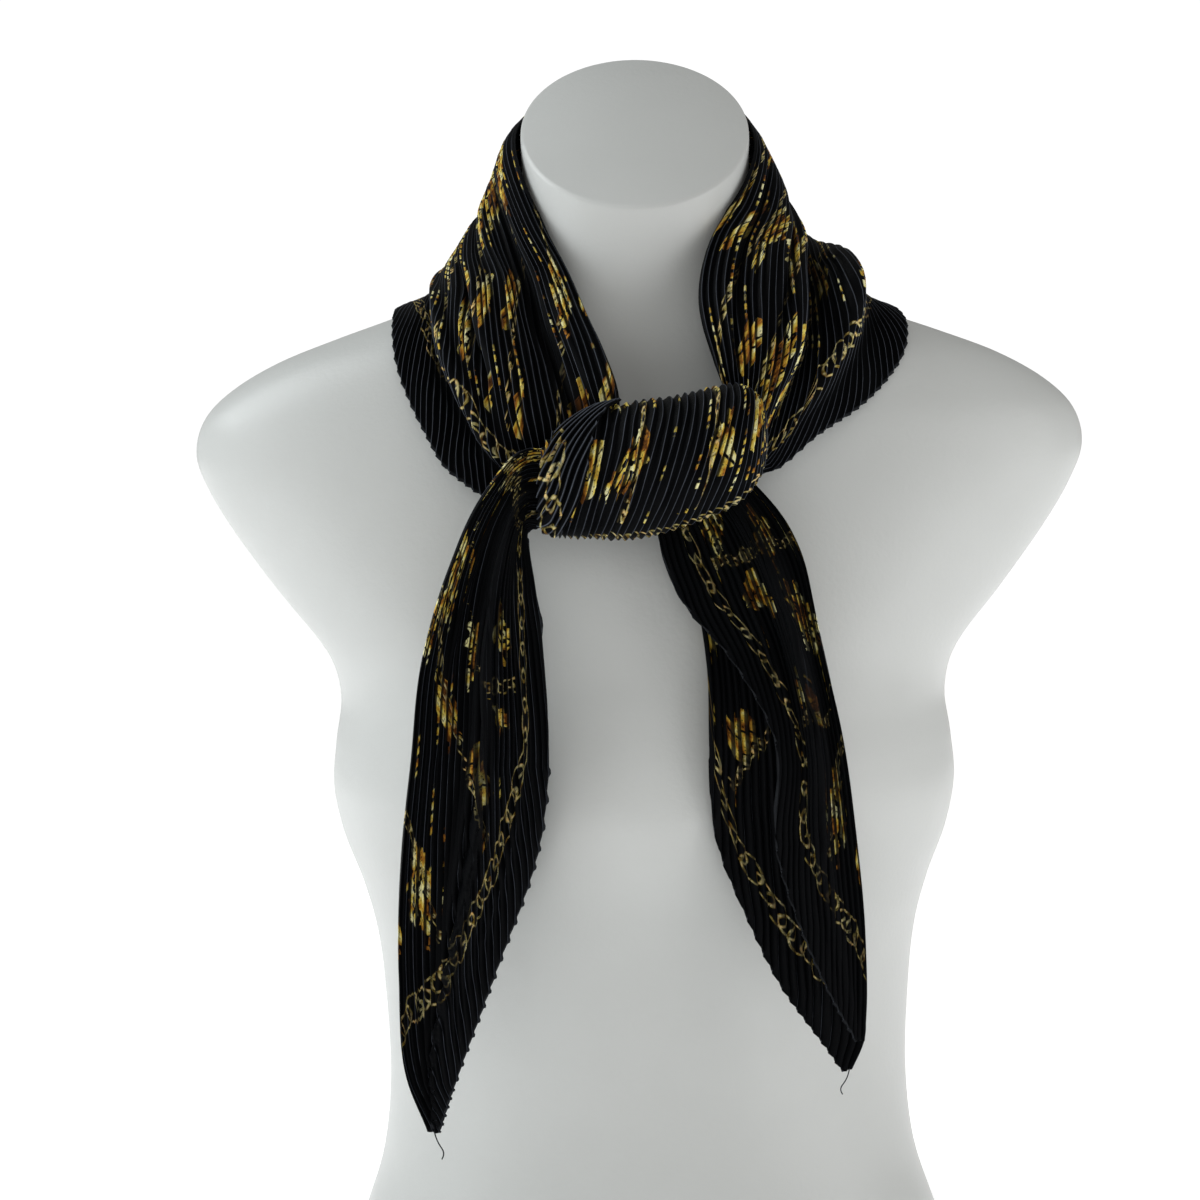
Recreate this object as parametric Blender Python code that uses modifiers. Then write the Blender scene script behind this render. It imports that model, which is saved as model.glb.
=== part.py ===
"""A pleated modal scarf, wound once round the neck of a limbless dress form and tied in front.

Metres, +Z up. The front faces -Y, and left and right are those of someone looking at the front.
The origin is the centre of the form's flat base. The tables below hold millimetres.

The scarf is a square of cloth, finely pleated along one diagonal. Each stretch of it that shows is
a sheet through a few sections. A section runs from the stretch's fold to its hem, over the folds
named in its table, and carries the pleats numbered from its first to its last. A pleat ends where
the hem cuts it, which scallops the hem.
"""

import math

import bmesh
import bpy
import numpy as np

MM = 0.001

CLOTH_WALL = 1.2  # one ply of pleated cloth, with the air between its folds
SEAM_GAP = 0.8  # between one stretch of the scarf and the next
PLEAT_DEPTH = 1.5  # ridge to valley of a pleat that lies relaxed
PLEAT_STEEPNESS = 0.42  # depth of a squeezed pleat, as a share of its pitch
REST_LIFT = 3.3  # middle of the pleats above the form, where cloth rests on it
FLAP_LIFT = 2.9  # middle of the flap's pleats above those of the knot
SHORTEST_PLEAT = 7.0  # a hem cuts no pleat shorter than this
HEM_SCALLOP = 1.0  # how far a ridge runs out past the valleys beside it at a hem
LEVEL_MARGIN = 0.4  # least distance of a pleat's end from its next point, in steps between points
DENSE_ALONG = 96  # samples of a sheet along its pleats, from which its mesh is read
DENSE_ACROSS = 160  # and across them
FINER = 8  # samples worked out for each one that is kept, or between two rings of the form
PASSES = 6  # passes of each calculation that closes in on the form's surface
PROBE = 0.5  # step over which the slope away from the form is measured

FORM_SEGMENTS = 32
FORM_SHARP_ANGLE = 40.0  # its edges sharper than this stay sharp
CAP_TILT = 0.66  # the neck's cut top falls this much for each millimetre forward

# The dress form, from the base up: a ring's height at its middle, its half width, its depth in
# front of and behind the middle, and how much it falls for each millimetre forward.
FORM_RINGS = (
    # height, half width, front, back, tilt
    (0.0, 150.0, 104.0, 114.0, 0.0),
    (4.0, 153.0, 107.0, 117.0, 0.0),
    (60.0, 153.0, 107.0, 118.0, 0.0),
    (110.0, 143.0, 99.0, 108.0, 0.0),
    (146.0, 130.0, 91.0, 97.0, 0.0),
    (175.0, 121.0, 86.0, 91.0, 0.0),
    (210.0, 117.5, 83.0, 88.0, 0.0),
    (250.0, 119.0, 86.0, 86.0, 0.0),
    (277.0, 122.0, 93.0, 86.0, 0.0),
    (300.0, 128.0, 103.0, 88.0, 0.0),
    (322.0, 136.0, 113.0, 90.0, 0.0),
    (343.0, 140.0, 117.0, 92.0, 0.0),
    (363.0, 138.5, 114.0, 93.0, 0.0),
    (384.0, 136.0, 105.0, 95.0, 0.0),
    (404.0, 142.0, 96.0, 97.0, 0.0),
    (430.0, 162.0, 88.0, 98.0, 0.0),
    (455.0, 180.0, 81.0, 96.0, 0.0),
    (475.0, 192.0, 75.0, 92.0, 0.0),
    (492.0, 198.0, 69.0, 87.0, 0.0),
    (508.0, 194.0, 63.0, 81.0, 0.0),
    (521.0, 181.0, 57.0, 75.0, 0.0),
    (533.0, 160.0, 52.0, 70.0, 0.0),
    (543.0, 134.0, 49.0, 66.0, 0.01),
    (552.0, 108.0, 47.0, 62.0, 0.03),
    (561.0, 86.0, 46.0, 58.0, 0.07),
    (571.0, 69.0, 46.0, 56.0, 0.14),
    (583.0, 58.0, 46.5, 53.0, 0.24),
    (597.0, 52.5, 47.5, 51.0, 0.36),
    (612.0, 50.5, 48.5, 50.0, 0.48),
    (624.0, 50.5, 49.5, 50.0, 0.58),
    (632.5, 50.5, 50.0, 50.0, CAP_TILT),
    (633.5, 49.0, 48.5, 48.5, CAP_TILT),
)

# Each section of a sheet: its fold end and its hem end (x, y, z), the numbers of the pleats at
# those two ends, and for each named fold its share of the way from fold to hem and its lift out
# of the straight line between them.

# From the knot up the left of the neck, round the nape and down the right of the neck. Its folds,
# from fold end to hem end: rolled edge, valley, crown, step, band edge, tuck, flare.
COLLAR = (
    # place, fold end, hem end, pleats, (share, lift) of each fold
    ("in the knot, left", (-4, -98, 500), (-48, -92.4, 482), (0, 14),
     ((.05, 1), (.20, 0), (.42, 1), (.60, 1), (.72, 1), (.76, -1), (.86, -1))),
    ("left knot", (-8, -92, 512), (-64, -83, 478), (0, 15),
     ((.05, 2), (.20, -1), (.42, 3), (.60, 2), (.71, 2), (.77, -3), (.86, -2))),
    ("left below", (-9, -91, 523), (-79, -79.7, 487), (0, 18),
     ((.05, 3), (.22, -1), (.45, 7), (.63, 4), (.74, 4), (.79, -2), (.86, -2))),
    ("left low", (-15, -77, 541), (-93, -65, 506), (0, 21.5),
     ((.05, 4), (.24, 1), (.48, 11), (.66, 7), (.75, 5), (.80, -2), (.88, -1))),
    ("left middle", (-22, -63, 556), (-104, -43, 529), (0, 25),
     ((.05, 4), (.25, 3), (.48, 14), (.68, 9), (.77, 5), (.82, -1), (.90, 1))),
    ("left high", (-30, -49, 574), (-106, -19, 546), (0, 28),
     ((.05, 4), (.25, 4), (.47, 13), (.66, 9), (.78, 4), (.83, -1), (.91, 0))),
    ("left shoulder", (-41, -33, 595), (-105, 7, 551), (0, 30),
     ((.05, 4), (.25, 4), (.46, 8), (.64, 6), (.78, 1), (.84, -2), (.92, 0))),
    ("left side", (-51, -5, 627), (-102, 34, 548), (0, 31),
     ((.05, 4), (.25, 2), (.46, 0), (.64, -1), (.80, -2), (.84, -3), (.92, -1))),
    ("left nape", (-45, 27, 643), (-88, 66, 536), (0, 34),
     ((.05, 4), (.25, 2), (.45, -5), (.62, -6), (.78, -3), (.84, -4), (.92, -1))),
    ("nape", (0, 55, 650), (0, 104, 508), (0, 38),
     ((.05, 4), (.20, 3), (.38, -5), (.55, -6), (.72, -2), (.80, -3), (.90, 1))),
    ("right nape", (45, 27, 643), (92, 64, 538), (0, 34),
     ((.05, 4), (.25, 2), (.45, -5), (.62, -6), (.78, -3), (.84, -4), (.92, -1))),
    ("right side", (50, -4, 626), (106, 32, 549), (0, 31),
     ((.05, 3), (.22, 3), (.34, 0), (.42, -4), (.66, 1), (.80, -2), (.92, -1))),
    ("right shoulder", (42, -30, 603), (113, 4, 551), (0, 30),
     ((.06, 3), (.20, 7), (.38, 7), (.46, -2), (.66, 7), (.80, 0), (.92, 0))),
    ("right high", (31, -46, 586), (117, -19, 545), (0, 27.5),
     ((.05, 5), (.20, 10), (.40, 12), (.50, 0), (.67, 12), (.80, 2), (.92, 1))),
    ("right middle", (25, -65, 565), (112, -40, 529), (0, 24.5),
     ((.05, 6), (.22, 12), (.44, 15), (.54, 2), (.69, 12), (.80, 2), (.92, 1))),
    ("right low", (26, -77, 551), (97, -57, 515), (0, 21),
     ((.06, 6), (.26, 10), (.48, 14), (.58, 2), (.71, 8), (.82, 1), (.92, 0))),
    ("right below", (31, -86, 534), (75, -74, 502), (0, 17.3),
     ((.08, 4), (.28, 7), (.50, 7), (.62, 0), (.75, 3), (.84, 0), (.92, 0))),
    ("right knot", (36, -88, 516), (56, -81, 488), (0, 14.6),
     ((.08, 1), (.28, 2), (.50, 2), (.62, 0), (.75, 1), (.84, 0), (.92, 0))),
    ("in the knot, right", (24, -97, 512), (40, -95, 491), (0, 14),
     ((.08, 1), (.28, 1), (.50, 1), (.62, 0), (.75, 0), (.84, 0), (.92, 0))),
)
COLLAR_NODES = (
    # node, first place, last place, rows of points along its pleats
    ("scarf_neck_left", "in the knot, left", "left side", 11),
    ("scarf_nape", "left side", "right side", 10),
    ("scarf_neck_right", "right side", "in the knot, right", 11),
)

# From the knot's left mouth down to the left tip. The fold is the tail's left edge. Its folds:
# left edge, front crown, front edge, tuck, valley, back crown.
TAIL_LEFT = (
    ("in the knot", (-33, -101.3, 499), (-34, -101.3, 468.5), (2, 17),
     ((.02, 1), (.25, 4), (.48, 2), (.52, -2), (.60, -2), (.80, 1))),
    ("mouth", (-52, -105, 499), (-48, -104, 466), (0, 20),
     ((.02, 2), (.25, 6), (.45, 3), (.54, -3), (.64, -3), (.82, 2))),
    ("bend", (-65, -106, 484), (-48, -104, 460), (0, 21),
     ((.02, 2), (.25, 6), (.45, 3), (.53, -4), (.64, -4), (.80, 3))),
    ("top", (-82, -108, 450), (-45, -106, 440), (0, 21),
     ((.02, 2), (.22, 7), (.44, 4), (.51, -3), (.62, -3), (.80, 3))),
    ("upper", (-92, -113, 420), (-43, -112, 421), (0, 20.5),
     ((.02, 2), (.22, 7), (.43, 4), (.50, -3), (.62, -3), (.80, 3))),
    ("middle", (-99, -125, 370), (-41, -125, 369), (0, 20),
     ((.02, 2), (.20, 7), (.40, 4), (.48, -3), (.59, -3), (.78, 3))),
    ("lower", (-103, -127, 339), (-40, -127, 340), (0, 19),
     ((.02, 2), (.18, 6), (.36, 4), (.44, -3), (.55, -3), (.76, 3))),
    ("low", (-106, -124, 280), (-62, -124, 281), (0, 12.5),
     ((.03, 2), (.22, 5), (.39, 3), (.50, -2), (.60, -2), (.77, 2))),
    ("above tip", (-103, -121, 233), (-83, -121, 233), (0, 6),
     ((.05, 1), (.25, 2), (.40, 1), (.50, 0), (.62, 0), (.80, 0))),
    ("tip", (-95, -120, 213), (-90, -120, 212), (0, 1.5),
     ((.05, 0), (.25, 0), (.40, 0), (.50, 0), (.62, 0), (.80, 0))),
)

# From the knot down to the right tip: the front ply, whose fold is the tail's right edge. Its
# folds: right edge, outer crown, valley side, valley, inner edge, crown.
TAIL_RIGHT = (
    ("in the knot", (46, -90, 486), (6, -90, 475), (0, 21),
     ((.02, 1), (.14, 2), (.26, -1), (.34, -3), (.42, 1), (.68, 2))),
    ("top", (57, -95, 474), (6, -95, 461), (0, 22),
     ((.02, 1), (.13, 4), (.24, -1), (.32, -5), (.40, 2), (.66, 4))),
    ("upper", (66, -105, 458), (14, -104, 439), (0, 21.5),
     ((.02, 1), (.11, 4), (.20, 0), (.28, -5), (.38, 4), (.64, 5))),
    ("armpit level", (74, -113, 421), (37, -114, 410), (0, 18.5),
     ((.02, 1), (.12, 4), (.22, 0), (.31, -5), (.43, 4), (.68, 4))),
    ("bust", (83, -124, 376), (54, -126, 375), (0, 15),
     ((.03, 1), (.20, 4), (.34, 1), (.46, -3), (.60, 3), (.78, 2))),
    ("below bust", (88, -126, 335), (53, -128, 335), (0, 14.5),
     ((.03, 1), (.20, 4), (.36, 2), (.50, -1), (.58, 2), (.78, 1))),
    ("low", (91, -124, 300), (63, -127, 300), (0, 11),
     ((.03, 1), (.20, 3), (.36, 2), (.50, 0), (.62, 1), (.80, 0))),
    ("above tip", (91, -123, 267), (77, -125, 267), (0, 6),
     ((.03, 0), (.20, 1), (.36, 1), (.50, 0), (.62, 0), (.80, 0))),
    ("front tip", (90, -122, 250), (86, -123, 250), (0, 2),
     ((.03, 0), (.20, 0), (.36, 0), (.50, 0), (.62, 0), (.80, 0))),
)

# The back ply of the right tail, which shows to the left of the front ply and below it. Its folds:
# middle, crown, near edge.
TAIL_RIGHT_BACK = (
    ("in the knot", (44, -83, 476), (14, -83, 464), (0, 16),
     ((.35, 0), (.65, 1), (.88, 1))),
    ("top", (62, -90, 456), (20, -90, 444), (0, 16),
     ((.35, 0), (.65, 1), (.88, 1))),
    ("armpit level", (72, -103, 411), (26, -105, 406), (0, 16),
     ((.35, 0), (.65, 1), (.88, 1))),
    ("bust", (80, -114, 374), (26, -118, 374), (0, 16),
     ((.35, 0), (.65, 1), (.88, 1))),
    ("below bust", (84, -115, 340), (28, -120, 339), (0, 15.2),
     ((.35, 0), (.65, 1), (.88, 1))),
    ("low", (88, -118.6, 303), (41, -122, 303), (0, 12.5),
     ((.35, 1), (.65, 2), (.88, 1))),
    ("lower", (90, -118.6, 270), (57, -120, 270), (0, 8.5),
     ((.35, 1), (.65, 1), (.88, 1))),
    ("above tip", (90, -114, 247), (73, -117, 247), (0, 4),
     ((.35, 0), (.65, 0), (.88, 0))),
    ("tip", (85, -115, 236), (81, -116, 235), (0, 1.5),
     ((.35, 0), (.65, 0), (.88, 0))),
)
TAIL_NODES = (
    # node, sections, side that shows (1 or -1), rows of points along its pleats
    ("scarf_tail_left", TAIL_LEFT, -1, 14),
    ("scarf_tail_right", TAIL_RIGHT, 1, 13),
    ("scarf_tail_right_back", TAIL_RIGHT_BACK, 1, 11),
)

# The wrap of the knot: a barrel open at both ends and behind, from its left mouth to its right.
KNOT_MIDDLE_Y = -101.0
KNOT_ANGLES = (98.0, -95.0)  # from just behind the top, round the front, to just behind the foot
KNOT_LEAN = 0.055  # how far a pleat drifts to the left on its way down, as a share of the width
KNOT_PLEATS = 26
KNOT_ROWS = 9  # rows of points along the wrap's pleats
FLAP_ROWS = 7
KNOT_RINGS = (
    # x, middle height, half height, half depth
    (-42.0, 484.0, 19.0, 17.0),
    (-36.0, 486.0, 23.0, 20.0),
    (-22.0, 489.0, 26.0, 22.0),
    (-3.0, 491.0, 28.5, 23.0),
    (14.0, 494.0, 27.5, 23.0),
    (28.0, 498.0, 26.5, 22.0),
    (41.0, 502.0, 24.0, 20.0),
    (48.0, 504.0, 18.0, 15.0),
    (51.0, 505.0, 11.0, 9.0),
)

# The border flap that lies over the wrap's left end, on the wrap's own surface.
FLAP = (
    # angle round the wrap, x of its fold, x of its hem, first pleat, last pleat
    (-64.0, -41.5, -37.0, 8.0, 10.0),
    (-40.0, -41.5, -31.0, 6.5, 11.0),
    (-10.0, -41.5, -25.0, 4.5, 11.0),
    (22.0, -40.5, -21.5, 2.5, 10.0),
    (55.0, -35.0, -17.0, 1.0, 7.5),
    (80.0, -23.0, -8.5, 0.5, 5.5),
    (96.0, -12.0, 0.0, 1.0, 4.5),
)

CLOTH_COLOUR = (0.006, 0.007, 0.010)
CLOTH_ROUGHNESS = 0.62
FORM_COLOUR = (0.80, 0.81, 0.80)
FORM_ROUGHNESS = 0.34


def through(knots, values, where):
    """The smooth curve that passes through values at knots, read at where."""
    knots = np.asarray(knots, float)
    values = np.asarray(values, float)
    where = np.asarray(where, float)
    steps = np.diff(knots)
    slopes = np.diff(values, axis=0) / steps[:, None]
    tangents = np.empty_like(values)
    tangents[0] = slopes[0]
    tangents[-1] = slopes[-1]
    before = steps[:-1, None]
    after = steps[1:, None]
    tangents[1:-1] = (slopes[:-1] * after + slopes[1:] * before) / (before + after)
    index = np.clip(np.searchsorted(knots, where, side="right") - 1, 0, len(steps) - 1)
    step = steps[index][:, None]
    t = (where[:, None] - knots[index][:, None]) / step
    return (
        values[index] * (2 * t**3 - 3 * t**2 + 1)
        + tangents[index] * step * (t**3 - 2 * t**2 + t)
        + values[index + 1] * (3 * t**2 - 2 * t**3)
        + tangents[index + 1] * step * (t**3 - t**2)
    )


def travelled(points):
    """The distance along a line of points, from its start to each of them."""
    lengths = np.linalg.norm(np.diff(points, axis=0), axis=1)
    return np.concatenate([[0.0], np.cumsum(lengths)])


def evenly(points, count):
    """count points evenly spaced on the smooth curve through points."""
    knots = np.concatenate([[0.0], np.cumsum(np.sqrt(np.diff(travelled(points))))])
    fine = through(knots, points, np.linspace(0.0, knots[-1], FINER * count))
    along = travelled(fine)
    places = np.linspace(0.0, along[-1], count)
    return np.stack([np.interp(places, along, fine[:, axis]) for axis in range(3)], axis=1)


# --- the dress form ---------------------------------------------------------------------------


def form_levels():
    """The form's rings, with more worked out between those of the table."""
    knots = np.arange(len(FORM_RINGS))
    where = np.linspace(0, knots[-1], FINER * knots[-1] + 1)
    return through(knots, FORM_RINGS, where)


FORM_LEVELS = form_levels()


def form_reach(points):
    """How far each point lies out from the form's axis, as a multiple of the form's own reach."""
    level = points[:, 2]
    for _ in range(PASSES):
        tilt = np.interp(level, FORM_LEVELS[:, 0], FORM_LEVELS[:, 4])
        level = points[:, 2] - tilt * points[:, 1]
    width, front, back = (np.interp(level, FORM_LEVELS[:, 0], FORM_LEVELS[:, k]) for k in (1, 2, 3))
    depth = np.where(points[:, 1] < 0, front, back)
    return np.hypot(points[:, 0] / width, points[:, 1] / depth)


def lifted_off_form(points, lift):
    """The points, with those nearer to the form than lift moved straight out to it."""
    points = points.copy()
    for _ in range(PASSES):
        reach = form_reach(points)
        probes = [form_reach(points + PROBE * direction) for direction in np.eye(3)]
        slope = (np.stack(probes, axis=1) - reach[:, None]) / PROBE
        steepness = np.linalg.norm(slope, axis=1)
        short = lift - (reach - 1) / steepness
        points += np.maximum(short, 0)[:, None] * slope / steepness[:, None]
    return points


def form_mesh():
    turns = np.linspace(0, 2 * math.pi, FORM_SEGMENTS, endpoint=False)
    mesh = bmesh.new()
    rings = []
    for height, width, front, back, tilt in FORM_RINGS:
        ring = []
        for turn in turns:
            y = math.sin(turn) * (front if math.sin(turn) < 0 else back)
            ring.append(mesh.verts.new((MM * width * math.cos(turn), MM * y, MM * (height + tilt * y))))
        rings.append(ring)
    for lower, upper in zip(rings, rings[1:]):
        for k in range(FORM_SEGMENTS):
            after = (k + 1) % FORM_SEGMENTS
            mesh.faces.new((lower[k], lower[after], upper[after], upper[k]))
    mesh.faces.new(rings[0][::-1])
    mesh.faces.new(rings[-1])
    return mesh


# --- the sheets of cloth ----------------------------------------------------------------------


def section_points(sections, facing):
    """The control points of each section: its fold end, its named folds and its hem end."""
    starts = np.array([section[1] for section in sections], float)
    ends = np.array([section[2] for section in sections], float)
    middles = (starts + ends) / 2
    forward = np.gradient(middles, axis=0)
    out = facing * np.cross(forward, ends - starts)
    out /= np.linalg.norm(out, axis=1)[:, None]
    rows = []
    for start, end, away, section in zip(starts, ends, out, sections):
        folds = [start + share * (end - start) + lift * away for share, lift in section[4]]
        rows.append(np.array([start, *folds, end]))
    return rows


def sheet_from_sections(sections, facing):
    """The dense grid of a sheet, its outward normals and the first and last pleat of each row."""
    lines = np.array([evenly(points, DENSE_ACROSS) for points in section_points(sections, facing)])
    knots = travelled(lines.mean(axis=1))
    where = np.linspace(0, knots[-1], DENSE_ALONG)
    grid = through(knots, lines.reshape(len(lines), -1), where).reshape(DENSE_ALONG, -1, 3)
    pleats = np.array([section[3] for section in sections], float)
    first, last = (np.interp(where, knots, pleats[:, k]) for k in (0, 1))
    flat = lifted_off_form(grid.reshape(-1, 3), REST_LIFT)
    places = dict(zip([section[0] for section in sections], knots / knots[-1]))
    return with_normals(flat.reshape(grid.shape), facing), first, last, places


def with_normals(grid, facing):
    along = np.gradient(grid, axis=0)
    across = np.gradient(grid, axis=1)
    normals = facing * np.cross(along, across)
    normals /= np.linalg.norm(normals, axis=2)[:, :, None]
    return np.concatenate([grid, normals], axis=2)


def read_grid(grid, rows, columns):
    """The grid read between its samples, at rows and columns given from 0 to 1."""
    r = np.clip(rows, 0, 1) * (grid.shape[0] - 1)
    c = np.clip(columns, 0, 1) * (grid.shape[1] - 1)
    r0 = np.minimum(r.astype(int), grid.shape[0] - 2)
    c0 = np.minimum(c.astype(int), grid.shape[1] - 2)
    fr = (r - r0)[..., None]
    fc = (c - c0)[..., None]
    upper = grid[r0, c0] * (1 - fc) + grid[r0, c0 + 1] * fc
    lower = grid[r0 + 1, c0] * (1 - fc) + grid[r0 + 1, c0 + 1] * fc
    return upper * (1 - fr) + lower * fr


def pleat_reach(number, first, last, length):
    """From where to where along the sheet a pleat runs before a hem cuts it, from 0 to 1."""
    inside = np.flatnonzero((first <= number) & (number <= last))
    if len(inside) < 2:
        return None
    place = np.linspace(0, 1, len(first))
    start, end = inside[0], inside[-1]
    reach = [place[start], place[end]]
    if start > 0:
        edge = last if last[start - 1] < number else first
        reach[0] = np.interp(number, *sorted_pair(edge, place, start - 1))
    if end < len(first) - 1:
        edge = last if last[end + 1] < number else first
        reach[1] = np.interp(number, *sorted_pair(edge, place, end))
    if (reach[1] - reach[0]) * length < SHORTEST_PLEAT:
        return None
    return reach


def sorted_pair(edge, place, at):
    order = [at, at + 1] if edge[at] <= edge[at + 1] else [at + 1, at]
    return edge[order], place[order]


def sheet_length(grid):
    """The length of a sheet down its middle."""
    return travelled(grid[:, :, :3].mean(axis=1))[-1]


def pleated_mesh(grid, first, last, rows, start=0.0, end=1.0):
    """The open sheet between start and end, with a column of points down each ridge and valley.

    The pleats of a row are numbered from first to last. Even halves are valleys, odd ones ridges.
    """
    length = sheet_length(grid)
    widths = np.linalg.norm(np.diff(grid[:, :, :3], axis=1), axis=2).sum(axis=1)
    pitch = widths / np.maximum(last - first, 1)
    place = np.linspace(0, 1, len(first))
    levels = np.linspace(start, end, rows)
    mesh = bmesh.new()
    before = None
    for half in range(math.ceil(2 * first.min()), int(2 * last.max()) + 1):
        reach = pleat_reach(half / 2, first, last, length)
        if reach is None:
            continue
        side = 1 if half % 2 else -1
        where = column_places(reach, levels, side * HEM_SCALLOP / length)
        if (where[-1] - where[0]) * length < SHORTEST_PLEAT:
            continue
        low = np.interp(where, place, first)
        high = np.interp(where, place, last)
        found = read_grid(grid, where, (half / 2 - low) / (high - low))
        depth = np.minimum(PLEAT_DEPTH, PLEAT_STEEPNESS * np.interp(where, place, pitch))
        points = found[:, :3] + side * 0.5 * depth[:, None] * found[:, 3:]
        column = [(at, mesh.verts.new(MM * point)) for at, point in zip(where, points)]
        if before:
            join_columns(mesh, before, column)
        before = column
    return mesh


def column_places(reach, levels, scallop):
    """Where a column's points lie: at its two ends, and at the levels well between them."""
    low = max(reach[0] - scallop * (reach[0] > 0), levels[0])
    high = min(reach[1] + scallop * (reach[1] < 1), levels[-1])
    margin = LEVEL_MARGIN * (levels[1] - levels[0])
    inside = [level for level in levels if low + margin < level < high - margin]
    return np.array([low, *inside, high])


def join_columns(mesh, left, right):
    """Faces between two columns of (place, point), whose points don't all lie at the same places."""
    i = 0
    j = 0
    while i < len(left) - 1 or j < len(right) - 1:
        next_left = left[i + 1][0] if i < len(left) - 1 else math.inf
        next_right = right[j + 1][0] if j < len(right) - 1 else math.inf
        corners = [left[i][1]]
        step_left = next_left <= next_right
        step_right = next_right <= next_left
        if step_left:
            corners.append(left[i + 1][1])
        if step_right:
            corners.append(right[j + 1][1])
        corners.append(right[j][1])
        mesh.faces.new(corners)
        i += step_left
        j += step_right


# --- the knot ---------------------------------------------------------------------------------


def knot_surface(shares, angles):
    """Points on the wrap: shares run from its left mouth to its right one, angles from the front up."""
    rings = np.array(KNOT_RINGS)
    knots = travelled(rings[:, [0, 2, 3]])
    x, middle, high, deep = through(knots, rings, shares.ravel() * knots[-1]).T
    turn = np.radians(angles.ravel())
    y = KNOT_MIDDLE_Y - deep * np.cos(turn)
    z = middle + high * np.sin(turn)
    return np.stack([x, y, z], axis=1).reshape(*shares.shape, 3)


def knot_share(x):
    """Where along the wrap x lies, from 0 at its left mouth to 1 at its right one."""
    rings = np.array(KNOT_RINGS)
    knots = travelled(rings[:, [0, 2, 3]])
    return np.interp(x, rings[:, 0], knots / knots[-1])


def knot_grid():
    angles, shares = np.meshgrid(
        np.linspace(*KNOT_ANGLES, DENSE_ALONG), np.linspace(0, 1, DENSE_ACROSS), indexing="ij"
    )
    lean = KNOT_LEAN * np.sin(math.pi * shares) * np.sin(np.radians(angles))
    return with_normals(knot_surface(shares + lean, angles), 1)


def flap_grid():
    table = np.array(FLAP)
    knots = travelled(table[:, :2])
    rows = through(knots, table, np.linspace(0, knots[-1], DENSE_ALONG))
    share = np.linspace(0, 1, DENSE_ACROSS)[None, :]
    x = rows[:, 1:2] * (1 - share) + rows[:, 2:3] * share
    angles = rows[:, 0:1] + 0 * share
    grid = with_normals(knot_surface(knot_share(x), angles), -1)
    grid[:, :, :3] += FLAP_LIFT * grid[:, :, 3:]
    return grid, rows[:, 3], rows[:, 4]


# --- objects ----------------------------------------------------------------------------------


def material(name, colour, roughness):
    made = bpy.data.materials.new(name)
    made.use_nodes = True
    shader = made.node_tree.nodes["Principled BSDF"]
    shader.inputs["Base Color"].default_value = (*colour, 1.0)
    shader.inputs["Roughness"].default_value = roughness
    shader.inputs["Metallic"].default_value = 0.0
    return made


def add_object(name, mesh, collection, colour, roughness):
    data = bpy.data.meshes.new(name)
    mesh.to_mesh(data)
    mesh.free()
    made = bpy.data.objects.new(name, data)
    made.data.materials.append(material(name, colour, roughness))
    collection.objects.link(made)
    return made


def add_cloth(name, mesh, collection):
    """A sheet's open mesh, thickened inwards from its pleats."""
    made = add_object(name, mesh, collection, CLOTH_COLOUR, CLOTH_ROUGHNESS)
    wall = made.modifiers.new("cloth wall", "SOLIDIFY")
    wall.thickness = MM * CLOTH_WALL
    wall.offset = -1.0
    wall.use_even_offset = False
    wall.use_quality_normals = True


def build_form(collection):
    made = add_object("form", form_mesh(), collection, FORM_COLOUR, FORM_ROUGHNESS)
    made.data.shade_smooth()
    made.data.set_sharp_from_angle(angle=math.radians(FORM_SHARP_ANGLE))


def build_collar(collection):
    grid, first, last, places = sheet_from_sections(COLLAR, 1)
    half_gap = 0.5 * SEAM_GAP / sheet_length(grid)
    for name, start, end, rows in COLLAR_NODES:
        low = places[start] + half_gap * (places[start] > 0)
        high = places[end] - half_gap * (places[end] < 1)
        add_cloth(name, pleated_mesh(grid, first, last, rows, low, high), collection)


def build_tails(collection):
    for name, sections, facing, rows in TAIL_NODES:
        grid, first, last, _ = sheet_from_sections(sections, facing)
        add_cloth(name, pleated_mesh(grid, first, last, rows), collection)


def build_knot(collection):
    first = np.zeros(DENSE_ALONG)
    last = np.full(DENSE_ALONG, float(KNOT_PLEATS))
    add_cloth("scarf_knot", pleated_mesh(knot_grid(), first, last, KNOT_ROWS), collection)
    grid, first, last = flap_grid()
    add_cloth("scarf_knot_flap", pleated_mesh(grid, first, last, FLAP_ROWS), collection)


def main():
    for old in list(bpy.data.objects):
        bpy.data.objects.remove(old, do_unlink=True)
    collection = bpy.data.collections.new("modal_scarf")
    bpy.context.scene.collection.children.link(collection)
    build_form(collection)
    build_collar(collection)
    build_tails(collection)
    build_knot(collection)


main()
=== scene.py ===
import math
from functools import partialmethod
from typing import NamedTuple

import bmesh
import bpy
import numpy as np
from mathutils import Matrix, Vector


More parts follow.
